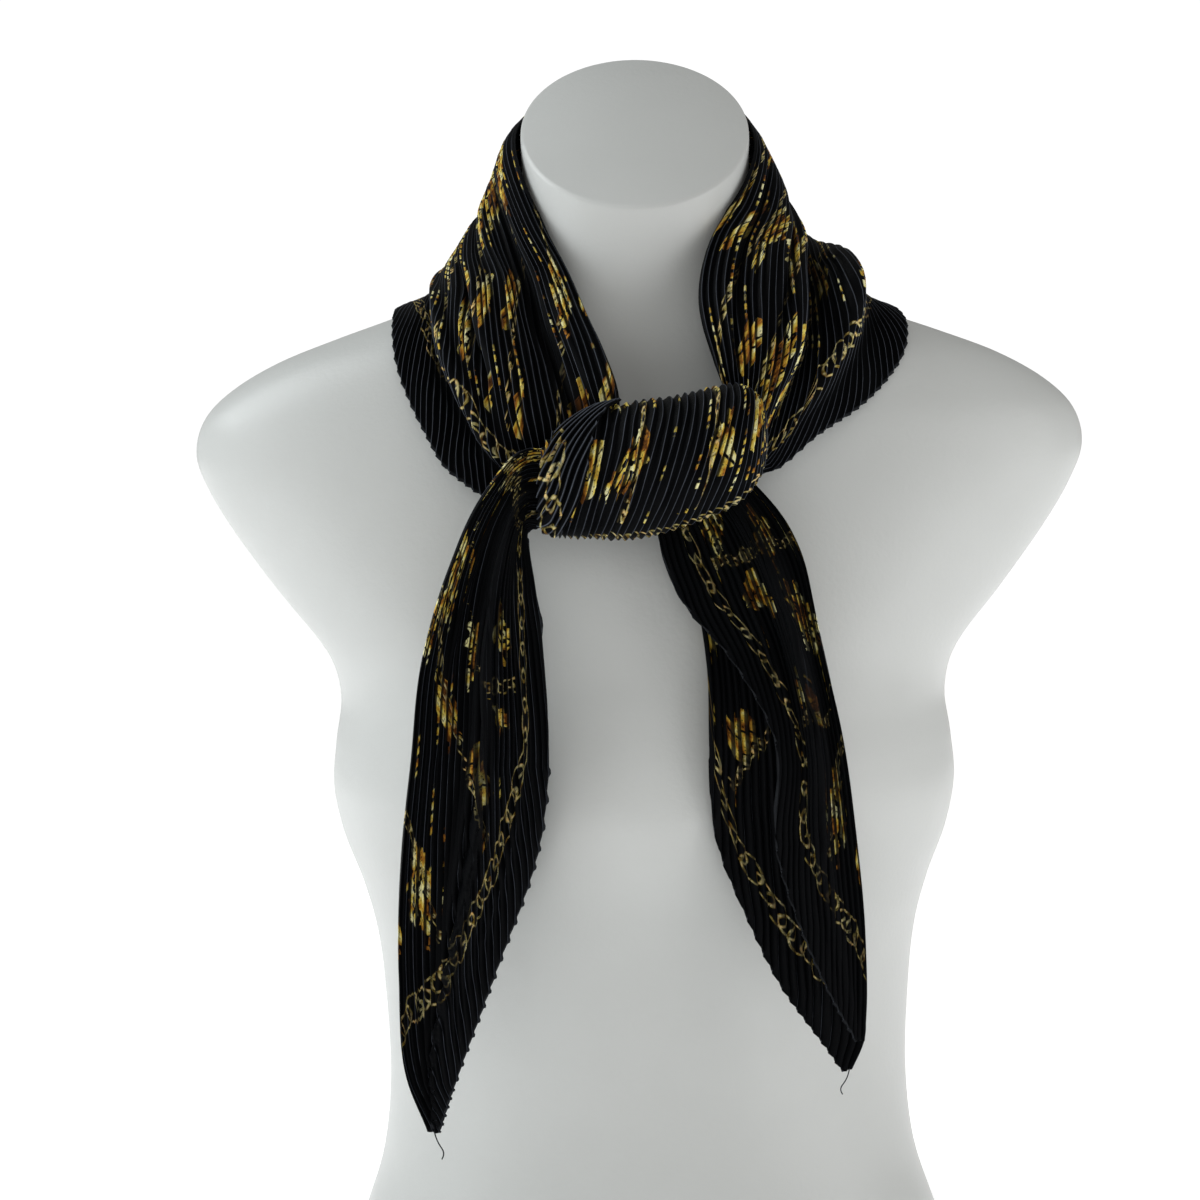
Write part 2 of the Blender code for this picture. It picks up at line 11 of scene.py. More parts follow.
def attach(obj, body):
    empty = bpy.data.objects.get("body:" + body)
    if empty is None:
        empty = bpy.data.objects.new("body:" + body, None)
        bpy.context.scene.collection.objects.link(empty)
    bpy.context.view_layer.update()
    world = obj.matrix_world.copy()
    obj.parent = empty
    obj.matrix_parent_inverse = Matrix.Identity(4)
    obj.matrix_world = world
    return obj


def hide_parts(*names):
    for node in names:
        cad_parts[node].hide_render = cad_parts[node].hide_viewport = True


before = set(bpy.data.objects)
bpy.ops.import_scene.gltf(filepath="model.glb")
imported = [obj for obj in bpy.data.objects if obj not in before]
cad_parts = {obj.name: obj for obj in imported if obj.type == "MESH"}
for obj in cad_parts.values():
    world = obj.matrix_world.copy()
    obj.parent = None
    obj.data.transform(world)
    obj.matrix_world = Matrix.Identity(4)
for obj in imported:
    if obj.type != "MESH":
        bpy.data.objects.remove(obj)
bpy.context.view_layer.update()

MM = 0.001
SEED = 7

# --- the part's own shape, in millimetres ---

REST_LIFT = 3.3  # middle of the pleats above the form
FLAP_LIFT = 2.9  # middle of the flap's pleats above those of the knot
SHORTEST_PLEAT = 4.0  # or else it is left out
DENSE_ALONG = 150  # samples of a sheet along its pleats
DENSE_ACROSS = 220
FINER = 8  # samples for each one that is kept
PASSES = 6  # of each calculation that closes in on the form's surface
PROBE = 0.5  # step for the slope away from the form
CAP_TILT = 0.66  # the neck's cut top falls this much for each millimetre forward

FORM_RINGS = (
    # height, half width, front, back, tilt
    (0, 150, 104, 114, 0),
    (4, 153, 107, 117, 0),
    (60, 153, 107, 118, 0),
    (110, 143, 99, 108, 0),
    (146, 130, 91, 97, 0),
    (175, 121, 86, 91, 0),
    (210, 117.5, 83, 88, 0),
    (250, 119, 86, 86, 0),
    (277, 122, 93, 86, 0),
    (300, 128, 103, 88, 0),
    (322, 136, 113, 90, 0),
    (343, 140, 117, 92, 0),
    (363, 138.5, 114, 93, 0),
    (384, 136, 105, 95, 0),
    (404, 142, 96, 97, 0),
    (430, 162, 88, 98, 0),
    (455, 180, 81, 96, 0),
    (475, 192, 75, 92, 0),
    (492, 198, 69, 87, 0),
    (508, 194, 63, 81, 0),
    (521, 181, 57, 75, 0),
    (533, 160, 52, 70, 0),
    (543, 134, 49, 66, 0.01),
    (552, 108, 47, 62, 0.03),
    (561, 86, 46, 58, 0.07),
    (571, 69, 46, 56, 0.14),
    (583, 58, 46.5, 53, 0.24),
    (597, 52.5, 47.5, 51, 0.36),
    (612, 50.5, 48.5, 50, 0.48),
    (624, 50.5, 49.5, 50, 0.58),
    (632.5, 50.5, 50, 50, CAP_TILT),
    (633.5, 49, 48.5, 48.5, CAP_TILT),
)

# A section's folds each lie at a share of the way from its fold end to its hem end (x, y, z),
# lifted out of the straight line between them. Its pleats are the numbers of those at its ends.
COLLAR = (
    # place, fold end, hem end, pleats, shares of the folds, lifts of the folds
    ("in the knot, left", (-4, -98, 500), (-48, -92.4, 482), (0, 14),
     (.05, .20, .42, .60, .72, .76, .86), (1, 0, 1, 1, 1, -1, -1)),
    ("left knot", (-8, -92, 512), (-64, -83, 478), (0, 15),
     (.05, .20, .42, .60, .71, .77, .86), (2, -1, 3, 2, 2, -3, -2)),
    ("left below", (-9, -91, 523), (-79, -79.7, 487), (0, 18),
     (.05, .22, .45, .63, .74, .79, .86), (3, -1, 7, 4, 4, -2, -2)),
    ("left low", (-15, -77, 541), (-93, -65, 506), (0, 21.5),
     (.05, .24, .48, .66, .75, .80, .88), (4, 1, 11, 7, 5, -2, -1)),
    ("left middle", (-22, -63, 556), (-104, -43, 529), (0, 25),
     (.05, .25, .48, .68, .77, .82, .90), (4, 3, 14, 9, 5, -1, 1)),
    ("left high", (-30, -49, 574), (-106, -19, 546), (0, 28),
     (.05, .25, .47, .66, .78, .83, .91), (4, 4, 13, 9, 4, -1, 0)),
    ("left shoulder", (-41, -33, 595), (-105, 7, 551), (0, 30),
     (.05, .25, .46, .64, .78, .84, .92), (4, 4, 8, 6, 1, -2, 0)),
    ("left side", (-51, -5, 627), (-102, 34, 548), (0, 31),
     (.05, .25, .46, .64, .80, .84, .92), (4, 2, 0, -1, -2, -3, -1)),
    ("left nape", (-45, 27, 643), (-88, 66, 536), (0, 34),
     (.05, .25, .45, .62, .78, .84, .92), (4, 2, -5, -6, -3, -4, -1)),
    ("nape", (0, 55, 650), (0, 104, 508), (0, 38),
     (.05, .20, .38, .55, .72, .80, .90), (4, 3, -5, -6, -2, -3, 1)),
    ("right nape", (45, 27, 643), (92, 64, 538), (0, 34),
     (.05, .25, .45, .62, .78, .84, .92), (4, 2, -5, -6, -3, -4, -1)),
    ("right side", (50, -4, 626), (106, 32, 549), (0, 31),
     (.05, .22, .34, .42, .66, .80, .92), (3, 3, 0, -4, 1, -2, -1)),
    ("right shoulder", (42, -30, 603), (113, 4, 551), (0, 30),
     (.06, .20, .38, .46, .66, .80, .92), (3, 7, 7, -2, 7, 0, 0)),
    ("right high", (31, -46, 586), (117, -19, 545), (0, 27.5),
     (.05, .20, .40, .50, .67, .80, .92), (5, 10, 12, 0, 12, 2, 1)),
    ("right middle", (25, -65, 565), (112, -40, 529), (0, 24.5),
     (.05, .22, .44, .54, .69, .80, .92), (6, 12, 15, 2, 12, 2, 1)),
    ("right low", (26, -77, 551), (97, -57, 515), (0, 21),
     (.06, .26, .48, .58, .71, .82, .92), (6, 10, 14, 2, 8, 1, 0)),
    ("right below", (31, -86, 534), (75, -74, 502), (0, 17.3),
     (.08, .28, .50, .62, .75, .84, .92), (4, 7, 7, 0, 3, 0, 0)),
    ("right knot", (36, -88, 516), (56, -81, 488), (0, 14.6),
     (.08, .28, .50, .62, .75, .84, .92), (1, 2, 2, 0, 1, 0, 0)),
    ("in the knot, right", (24, -97, 512), (40, -95, 491), (0, 14),
     (.08, .28, .50, .62, .75, .84, .92), (1, 1, 1, 0, 0, 0, 0)),
)
TAIL_LEFT = (
    ("inside the knot", (-12, -101.5, 499), (-13, -101.5, 472), (2, 17),
     (.02, .25, .48, .52, .60, .80), (1, 3, 2, -1, -1, 1)),
    ("in the knot", (-33, -101.3, 499), (-34, -101.3, 468.5), (2, 17),
     (.02, .25, .48, .52, .60, .80), (1, 4, 2, -2, -2, 1)),
    ("mouth", (-52, -105, 499), (-48, -104, 466), (0, 20),
     (.02, .25, .45, .54, .64, .82), (2, 6, 3, -3, -3, 2)),
    ("bend", (-65, -106, 484), (-48, -104, 460), (0, 21),
     (.02, .25, .45, .53, .64, .80), (2, 6, 3, -4, -4, 3)),
    ("top", (-82, -108, 450), (-45, -106, 440), (0, 21),
     (.02, .22, .44, .51, .62, .80), (2, 7, 4, -3, -3, 3)),
    ("upper", (-92, -113, 420), (-43, -112, 421), (0, 20.5),
     (.02, .22, .43, .50, .62, .80), (2, 7, 4, -3, -3, 3)),
    ("middle", (-99, -125, 370), (-41, -125, 369), (0, 20),
     (.02, .20, .40, .48, .59, .78), (2, 7, 4, -3, -3, 3)),
    ("lower", (-103, -127, 339), (-44.5, -127, 340), (0, 18),
     (.02, .18, .36, .44, .55, .76), (2, 6, 4, -3, -3, 3)),
    ("low", (-106, -124, 280), (-65, -124, 281), (0, 12),
     (.03, .22, .39, .50, .60, .77), (2, 5, 3, -2, -2, 2)),
    ("above tip", (-103, -121, 233), (-83, -121, 233), (0, 6),
     (.05, .25, .40, .50, .62, .80), (1, 2, 1, 0, 0, 0)),
    ("tip", (-95, -120, 213), (-90, -120, 212), (0, 1.5),
     (.05, .25, .40, .50, .62, .80), (0, 0, 0, 0, 0, 0)),
)
TAIL_RIGHT = (
    ("inside the knot", (31, -85, 499), (5, -87, 492), (0, 21),
     (.02, .14, .26, .34, .42, .68), (0, 1, 0, -1, 0, 1)),
    ("in the knot", (46, -90, 486), (6, -90, 475), (0, 21),
     (.02, .14, .26, .34, .42, .68), (1, 2, -1, -3, 1, 2)),
    ("top", (57, -95, 474), (6, -95, 461), (0, 22),
     (.02, .13, .24, .32, .40, .66), (1, 4, -1, -5, 2, 4)),
    ("upper", (66, -105, 458), (14, -104, 439), (0, 21.5),
     (.02, .11, .20, .28, .38, .64), (1, 4, 0, -5, 4, 5)),
    ("armpit level", (74, -113, 421), (37, -114, 410), (0, 18.5),
     (.02, .12, .22, .31, .43, .68), (1, 4, 0, -5, 4, 4)),
    ("bust", (83, -124, 376), (54, -126, 375), (0, 15),
     (.03, .20, .34, .46, .60, .78), (1, 4, 1, -3, 3, 2)),
    ("below bust", (88, -126, 335), (53, -128, 335), (0, 14.5),
     (.03, .20, .36, .50, .58, .78), (1, 4, 2, -1, 2, 1)),
    ("low", (91, -124, 300), (63, -127, 300), (0, 11),
     (.03, .20, .36, .50, .62, .80), (1, 3, 2, 0, 1, 0)),
    ("above tip", (91, -123, 267), (77, -125, 267), (0, 6),
     (.03, .20, .36, .50, .62, .80), (0, 1, 1, 0, 0, 0)),
    ("front tip", (90, -122, 250), (86, -123, 250), (0, 2),
     (.03, .20, .36, .50, .62, .80), (0, 0, 0, 0, 0, 0)),
)
TAIL_RIGHT_BACK = (
    ("inside the knot", (32, -79, 490), (12, -80, 481), (0, 16), (.35, .65, .88), (0, 1, 1)),
    ("in the knot", (44, -83, 476), (14, -83, 464), (0, 16), (.35, .65, .88), (0, 1, 1)),
    ("top", (62, -90, 456), (20, -90, 444), (0, 16), (.35, .65, .88), (0, 1, 1)),
    ("armpit level", (72, -103, 411), (26, -105, 406), (0, 16), (.35, .65, .88), (0, 1, 1)),
    ("bust", (80, -114, 374), (26, -118, 374), (0, 16), (.35, .65, .88), (0, 1, 1)),
    ("below bust", (84, -115, 340), (28, -120, 339), (0, 15.2), (.35, .65, .88), (0, 1, 1)),
    ("low", (88, -118.6, 303), (41, -122, 303), (0, 12.5), (.35, .65, .88), (1, 2, 1)),
    ("lower", (90, -118.6, 270), (57, -120, 270), (0, 8.5), (.35, .65, .88), (1, 1, 1)),
    ("above tip", (90, -114, 247), (73, -117, 247), (0, 4), (.35, .65, .88), (0, 0, 0)),
    ("tip", (85, -115, 236), (81, -116, 235), (0, 1.5), (.35, .65, .88), (0, 0, 0)),
)

KNOT_MIDDLE_Y = -101.0
KNOT_ANGLES = (98.0, -95.0)  # from behind the top, round the front, to behind the foot
KNOT_TUCK = 32.0  # how many degrees further its left end is tucked under
KNOT_TUCKED = 0.32  # the share of its width that is tucked further
KNOT_TUCK_BLUNTNESS = 0.6
KNOT_LEAN = 0.085  # share of the width that a pleat drifts left on its way down
KNOT_BOW = 0.07  # and that it bows to the right in front
KNOT_PLEATS = 26.0
KNOT_RINGS = (
    # x, middle height, half height, half depth
    (-43, 484.5, 13.5, 14),
    (-37, 486, 21.5, 19.5),
    (-22, 489, 26, 22),
    (-3, 491, 28.5, 23),
    (14, 494, 27.5, 23),
    (28, 498, 26.5, 22),
    (41, 502, 24, 20),
    (48, 504, 18, 15),
    (51, 505, 11, 9),
    (52, 505.5, 5, 4),
)
FLAP = (
    # angle round the wrap, x of its fold, x of its hem, first pleat, last pleat
    (-64, -41.5, -37, 8, 10),
    (-40, -41.5, -31, 6.5, 11),
    (-10, -41.5, -25, 4.5, 11),
    (22, -40.5, -21.5, 2.5, 10),
    (55, -35, -17, 1, 7.5),
    (80, -23, -10, 0.5, 5.5),
    (92, -17, -8.5, 1, 4.5),
)

FLAP_SINKS_AT = 70.0  # the angle from which it sinks back towards the wrap
FLAP_SINKS_OVER = 26.0  # over this many degrees
FLAP_SINKS = 0.75  # by this share of its lift

# --- the thin cloth, in millimetres ---

CLOTH = 0.35  # wall of the thin cloth
HEM_BEAD = 0.95  # wall of the rolled hem
HEM_WIDTH = 1.3
HEM_SCALLOP = 0.5  # how far a ridge runs out past its pleat's middle
HEM_FLATTENED = 0.45  # how much shallower a pleat is there
HEM_REACH = 7.0  # how far along a pleat
HEM_SLANT = 1.3  # how far a hem runs along the pleats for each millimetre across
HEM_SLOPE = math.sqrt(1 + HEM_SLANT * HEM_SLANT)  # and its own length for each one
FLAT_PITCH = 6.0  # flat cloth taken up by one pleat
PLEAT_DEPTH = 2.1  # ridge to valley of a pleat that lies relaxed
PLEAT_STEEPNESS = 0.62  # depth of a squeezed pleat, as a share of its pitch
UNEVEN_SIDEWAYS = 0.16  # how far a pleat wanders to each side, as a share of its pitch
UNEVEN_DEPTH = 0.22  # how far its depth wanders, as a share
UNEVEN_PLACES = 9  # places along a pleat where they are drawn
CREASE_BLUNTNESS = 0.6  # the less, the more suddenly a crease starts
LEVEL_MARGIN = 0.4  # least distance from a pleat's end to its next point, in steps
# Painted shade in the furrows between folds: the print and the ridge highlight are darkened there.
FURROW_REACH = 5.5  # how far to each side one is looked for
FURROW_DEPTH = 1.7  # a furrow this deep gets the darkest painted shade
FURROW_DARKEST = 0.12
CHAIN_ALONG = 46.0  # from the hem to the middle of the chain border
WRAP_HEM = 38.0  # how far past its edge the wrap's hem would lie
EDGE_STEP = 19.0  # fits the links along the edge to those along the hem
PANEL_SHIFT = 8.0  # how far up the print of the turned-over panel lies

# A pleat across: share of its pitch, height from -1 to 1, share of its flat cloth.
PROFILE = (
    (0.00, -1.00, 0.00),
    (0.16, -0.76, 0.10),
    (0.33, -0.38, 0.20),
    (0.50, 0.06, 0.30),
    (0.64, 0.54, 0.39),
    (0.75, 1.00, 0.47),
    (0.83, 0.70, 0.57),
    (0.91, -0.25, 0.79),
)
KEPT_ON_POINTS = ("across", "to_hem", "along", "crest", "pleat", "furrow_shading")


def through(knots, values, where):
    """The smooth curve that passes through values at knots, read at where."""
    knots = np.asarray(knots, float)
    values = np.asarray(values, float)
    where = np.asarray(where, float)
    steps = np.diff(knots)
    slopes = np.diff(values, axis=0) / steps[:, None]
    tangents = np.empty_like(values)
    tangents[0] = slopes[0]
    tangents[-1] = slopes[-1]
    before = steps[:-1, None]
    after = steps[1:, None]
    tangents[1:-1] = (slopes[:-1] * after + slopes[1:] * before) / (before + after)
    index = np.clip(np.searchsorted(knots, where, side="right") - 1, 0, len(steps) - 1)
    step = steps[index][:, None]
    t = (where[:, None] - knots[index][:, None]) / step
    return (
        values[index] * (2 * t**3 - 3 * t**2 + 1)
        + tangents[index] * step * (t**3 - 2 * t**2 + t)
        + values[index + 1] * (3 * t**2 - 2 * t**3)
        + tangents[index + 1] * step * (t**3 - t**2)
    )


def travelled(points):
    """The distance along a line of points, from its start to each."""
    lengths = np.linalg.norm(np.diff(points, axis=0), axis=1)
    return np.concatenate([[0.0], np.cumsum(lengths)])


def evenly(points, count):
    """Count points at even distances on the smooth curve through points."""
    knots = np.concatenate([[0.0], np.cumsum(np.sqrt(np.diff(travelled(points))))])
    fine = through(knots, points, np.linspace(0.0, knots[-1], FINER * count))
    along = travelled(fine)
    places = np.linspace(0.0, along[-1], count)
    return np.stack([np.interp(places, along, fine[:, axis]) for axis in range(3)], axis=1)


def form_levels(last, count):
    """Count even levels of the form, from its base up to one of its rings."""
    return through(np.arange(len(FORM_RINGS)), FORM_RINGS, np.linspace(0, last, count))


FORM_LEVELS = form_levels(len(FORM_RINGS) - 1, FINER * (len(FORM_RINGS) - 1) + 1)


def form_reach(points):
    """How far out each point lies from the form's middle: 1 on its surface, more outside it."""
    level = points[:, 2]
    for _ in range(PASSES):
        tilt = np.interp(level, FORM_LEVELS[:, 0], FORM_LEVELS[:, 4])
        level = points[:, 2] - tilt * points[:, 1]
    width, front, back = (np.interp(level, FORM_LEVELS[:, 0], FORM_LEVELS[:, k]) for k in (1, 2, 3))
    depth = np.where(points[:, 1] < 0, front, back)
    return np.hypot(points[:, 0] / width, points[:, 1] / depth)


def lifted_off_form(points, lift):
    """The points, with each that lies closer to the form than lift moved out to it."""
    points = points.copy()
    for _ in range(PASSES):
        reach = form_reach(points)
        probes = [form_reach(points + PROBE * direction) for direction in np.eye(3)]
        slope = (np.stack(probes, axis=1) - reach[:, None]) / PROBE
        steepness = np.linalg.norm(slope, axis=1)
        short = lift - (reach - 1) / steepness
        points += np.maximum(short, 0)[:, None] * slope / steepness[:, None]
    return points


def section_points(sections, facing):
    """The points of each section, from its fold end over its folds to its hem end."""
    starts, ends = (np.array([section[k] for section in sections], float) for k in (1, 2))
    middles = (starts + ends) / 2
    forward = np.gradient(middles, axis=0)
    out = facing * np.cross(forward, ends - starts)
    out /= np.linalg.norm(out, axis=1)[:, None]
    rows = []
    for start, end, away, section in zip(starts, ends, out, sections):
        folds = [start + share * (end - start) + lift * away for share, lift in zip(*section[4:])]
        rows.append(np.array([start, *folds, end]))
    return rows


def sheet_from_sections(sections, facing, creases):
    """A sheet's grid, its first and last pleat at each row, and where its named sections lie."""
    lines = np.array([evenly(points, DENSE_ACROSS) for points in section_points(sections, facing)])
    knots = travelled(lines.mean(axis=1))
    where = np.linspace(0, knots[-1], DENSE_ALONG)
    grid = through(knots, lines.reshape(len(lines), -1), where).reshape(DENSE_ALONG, -1, 3)
    pleats = np.array([section[3] for section in sections], float)
    first, last = (np.interp(where, knots, pleats[:, k]) for k in (0, 1))
    places = dict(zip([section[0] for section in sections], knots / knots[-1]))
    grid = creased(with_normals(grid, facing), creases, places)
    flat = lifted_off_form(grid.reshape(-1, 3), REST_LIFT)
    return with_furrow_shading(with_normals(flat.reshape(grid.shape), facing)), first, last, places


def with_normals(grid, facing):
    """The grid with the direction out of the cloth at each place."""
    along = np.gradient(grid, axis=0)
    across = np.gradient(grid, axis=1)
    normals = facing * np.cross(along, across)
    normals /= np.linalg.norm(normals, axis=2)[:, :, None]
    return np.concatenate([grid, normals], axis=2)


def sheet_widths(grid):
    return np.linalg.norm(np.diff(grid[:, :, :3], axis=1), axis=2).sum(axis=1)


def with_furrow_shading(grid):
    """The grid with a painted-shade factor at each place: 1 on a crown, less in a furrow between
    two folds.
    """
    columns = np.arange(grid.shape[1])
    points = grid[:, :, :3]
    beside = int(FURROW_REACH / sheet_widths(grid).mean() * grid.shape[1])
    left = points[:, np.clip(columns - beside, 0, None)]
    right = points[:, np.clip(columns + beside, None, grid.shape[1] - 1)]
    depth = np.sum(((left + right) / 2 - points) * grid[:, :, 3:6], axis=2)
    furrow_shading = np.clip(1 - depth / FURROW_DEPTH, FURROW_DARKEST, 1)
    return np.concatenate([grid, furrow_shading[:, :, None]], axis=2)


def creased(grid, creases, places):
    """The grid with soft furrows (depth below 0) and ridges pressed into it along lines."""
    row = np.linspace(0, 1, grid.shape[0])[:, None]
    share = np.linspace(0, 1, grid.shape[1])[None, :]
    lift = np.zeros(grid.shape[:2])
    for start, end, depth, width in creases:
        low, high = places[start[0]], places[end[0]]
        t = (row - low) / (high - low)
        fade = np.sin(math.pi * np.clip(t, 0, 1)) ** CREASE_BLUNTNESS
        middle = start[1] + (end[1] - start[1]) * t
        lift += depth * fade * np.exp(-(((share - middle) / width) ** 2))
    return grid[:, :, :3] + lift[:, :, None] * grid[:, :, 3:6]


def read_grid(grid, rows, columns):
    """The grid's values at rows and columns, which run from 0 to 1."""
    r = np.clip(rows, 0, 1) * (grid.shape[0] - 1)
    c = np.clip(columns, 0, 1) * (grid.shape[1] - 1)
    r0 = np.minimum(r.astype(int), grid.shape[0] - 2)
    c0 = np.minimum(c.astype(int), grid.shape[1] - 2)
    fr = (r - r0)[..., None]
    fc = (c - c0)[..., None]
    upper = grid[r0, c0] * (1 - fc) + grid[r0, c0 + 1] * fc
    lower = grid[r0 + 1, c0] * (1 - fc) + grid[r0 + 1, c0 + 1] * fc
    return upper * (1 - fr) + lower * fr


def pleat_reach(number, first, last, length):
    """Where on the sheet a pleat starts and ends, from 0 to 1, or None if it is too short."""
    inside = np.flatnonzero((first <= number) & (number <= last))
    if len(inside) < 2:
        return None
    place = np.linspace(0, 1, len(first))
    start, end = inside[0], inside[-1]
    reach = [place[start], place[end]]
    if start > 0:
        reach[0] = hem_crossing(number, first, last, start, start - 1)
    if end < len(first) - 1:
        reach[1] = hem_crossing(number, first, last, end, end + 1)
    if (reach[1] - reach[0]) * length < SHORTEST_PLEAT:
        return None
    return reach


def hem_crossing(number, first, last, inside, outside):
    """Where the hem cuts a pleat, between a row inside the sheet and the row outside it."""
    edge = last if last[outside] < number else first
    rows = sorted((inside, outside), key=lambda row: edge[row])
    return np.interp(number, edge[rows], np.linspace(0, 1, len(first))[rows])


def sheet_length(grid):
    return travelled(grid[:, :, :3].mean(axis=1))[-1]


def wander(rng, pleats, places, amount):
    """Smooth uneven values for each pleat and each place along it, around 0."""
    rough = rng.uniform(-amount, amount, (pleats, UNEVEN_PLACES))
    knots = np.linspace(0, 1, UNEVEN_PLACES)
    return through(knots, rough.T, places).T


class Look(NamedTuple):
    """How a sheet's thin mesh differs from its solid, and how the print lies on it."""

    rows: int  # points along a pleat
    finer: float  # pleats for each one of the solid
    deeper: float = 1.0  # depth of its pleats, as a share of the usual one
    enlarged: tuple = (1.0, 1.0)  # size of the print, across and along the pleats
    cut: float = 1.0  # how much of the cloth inside a pleat the print takes up
    chain_at: float = CHAIN_ALONG
    # Above this place the chain runs along the last edge, and each pleat from that edge counts
    # as so many millimetres from the hem.
    along_edge: tuple = None
    panel: tuple = None  # the ends, (place, share), of a line before which the print is shifted


class Pleats:
    """The pleats of a sheet, which its hem cuts at those of their ends that hems names."""

    def __init__(self, grid, first, last, places, hems, seed, look):
        rng = np.random.default_rng(seed)
        self.grid = grid
        self.first = first * look.finer
        self.last = last * look.finer
        self.places = places
        self.hems = hems
        self.look = look
        self.length = sheet_length(grid)
        self.rows = np.linspace(0, 1, len(first))
        self.levels = np.linspace(0, 1, look.rows)
        self.count = int(math.ceil(self.last.max())) + 2
        self.pitch = sheet_widths(grid) / np.maximum(self.last - self.first, 1)
        self.sway = wander(rng, self.count, self.rows, UNEVEN_SIDEWAYS)
        self.height = 1.0 + wander(rng, self.count, self.rows, UNEVEN_DEPTH)

    def read(self, values, where):
        return np.interp(where, self.rows, values)

    def column(self, pleat, share, lift, flat):
        """A column's places, points, kept values, walls and length, or None if it is too short."""
        number = pleat + share
        reach = pleat_reach(number, self.first, self.last, self.length)
        if reach is None:
            return None
        scallop = lift * HEM_SCALLOP / self.length
        where = column_places(reach, self.levels, scallop, HEM_WIDTH / self.length)
        low = self.read(self.first, where)
        high = self.read(self.last, where)
        inward = np.clip(np.minimum(number - low, high - number), 0, 1)
        shift = (1 - share) * self.read(self.sway[pleat], where)
        shift += share * self.read(self.sway[pleat + 1], where)
        found = read_grid(self.grid, where, (number + inward * shift - low) / (high - low))
        travel = travelled(found[:, :3])
        depth = np.minimum(PLEAT_DEPTH, PLEAT_STEEPNESS * self.read(self.pitch, where))
        depth = self.look.deeper * depth * self.read(self.height[pleat], where)
        if reach[0] > 0:
            depth = depth * (1 - HEM_FLATTENED * np.exp(-travel / HEM_REACH))
        if reach[1] < 1:
            depth = depth * (1 - HEM_FLATTENED * np.exp((travel - travel[-1]) / HEM_REACH))
        points = found[:, :3] + lift * 0.5 * depth[:, None] * found[:, 3:6]
        hem = self.hem_distance(number, reach, travel)
        shown = number + self.look.cut * (flat - share)
        printed = self.print_places(number, shown, where, low, high, hem)
        same = np.ones_like(hem)
        kept = np.stack([*printed, lift * same, number * same, found[:, 6]], axis=1)
        walls = np.where(hem < 0.5 * HEM_WIDTH, HEM_BEAD, CLOTH)
        return where, points, kept, walls, travel[-1]

    def hem_distance(self, number, reach, travel):
        """How far from the hem each point of a column lies, along its pleat."""
        ways = []
        if "start" in self.hems:
            more = 0 if reach[0] > 0 else FLAT_PITCH * (self.last[0] - number)
            ways.append(travel + more)
        if "end" in self.hems:
            more = 0 if reach[1] < 1 else FLAT_PITCH * (self.last[-1] - number)
            ways.append(travel[-1] - travel + more)
        return np.min(ways, axis=0) if ways else WRAP_HEM + travel[-1] - travel

    def print_places(self, number, shown, where, low, high, hem):
        """Where a column's points lie in the print: across the pleats, from the hem, and along."""
        look = self.look
        straight = 0 if self.hems else HEM_SLANT / (HEM_SLOPE * HEM_SLOPE)
        across = shown * FLAT_PITCH / look.enlarged[0] - straight * hem
        away = CHAIN_ALONG + (hem - look.chain_at) / look.enlarged[1]
        if look.along_edge:
            lowest = self.places[look.along_edge[0]]
            beside = look.along_edge[1] * (high - number)
            climb = FLAT_PITCH * HEM_SLOPE * self.read(self.last, lowest) - EDGE_STEP
            climb = climb + self.length * (lowest - where)
            nearer = beside < away
            away = np.where(nearer, beside, away)
            across = np.where(nearer, (climb - beside * HEM_SLANT / HEM_SLOPE) / HEM_SLOPE, across)
        if look.panel:
            names, shares = zip(*look.panel)
            line = np.interp(where, [self.places[name] for name in names], shares)
            away = away - PANEL_SHIFT * (number - low < line * (high - low))
        along = self.length * where if len(self.hems) == 2 else away
        return across, away, along


def fine_sheet(name, pleats):
    """A sheet's thin pleated mesh, and the size and the area of its flat cloth."""
    mesh = bmesh.new()
    layers = [mesh.verts.layers.float.new(kept_name) for kept_name in KEPT_ON_POINTS]
    weights = mesh.verts.layers.deform.verify()
    before = None
    longest = 0.0
    area = 0.0
    for pleat in range(int(pleats.first.min()), pleats.count - 1):
        for share, lift, flat in PROFILE:
            read = pleats.column(pleat, share, lift, flat)
            if read is None:
                continue
            where, points, kept, walls, travel = read
            column = []
            for at, point, values, thickness in zip(where, points, kept, walls):
                vert = mesh.verts.new(MM * point)
                for layer, value in zip(layers, values):
                    vert[layer] = value
                vert[weights][0] = thickness
                column.append((at, vert))
            if before:
                join_columns(mesh, before, column)
                area += (FLAT_PITCH * (flat - before_flat) % FLAT_PITCH) * travel
            before = column
            before_flat = flat
            longest = max(longest, travel)
    made = add_piece(name, mesh)
    made.vertex_groups.new(name="cloth wall")
    wall = made.modifiers.new("cloth wall", "SOLIDIFY")
    wall.thickness = MM
    wall.offset = -1.0
    wall.use_quality_normals = True
    wall.vertex_group = "cloth wall"
    width = FLAT_PITCH * float(pleats.last.max() - pleats.first.min())
    return made, (MM * width, MM * longest), MM * MM * area


def column_places(reach, levels, scallop, hem):
    """Where a column's points lie: its two ends, beside a hem, and at the levels between."""
    low = max(reach[0] - scallop * (reach[0] > 0), levels[0])
    high = min(reach[1] + scallop * (reach[1] < 1), levels[-1])
    margin = LEVEL_MARGIN * (levels[1] - levels[0])
    ends = [low]
    if reach[0] > 0:
        ends.append(low + hem)
    tail = [high]
    if reach[1] < 1:
        tail.insert(0, high - hem)
    inside = [level for level in levels if ends[-1] + margin < level < tail[0] - margin]
    return np.array([*ends, *inside, *tail])


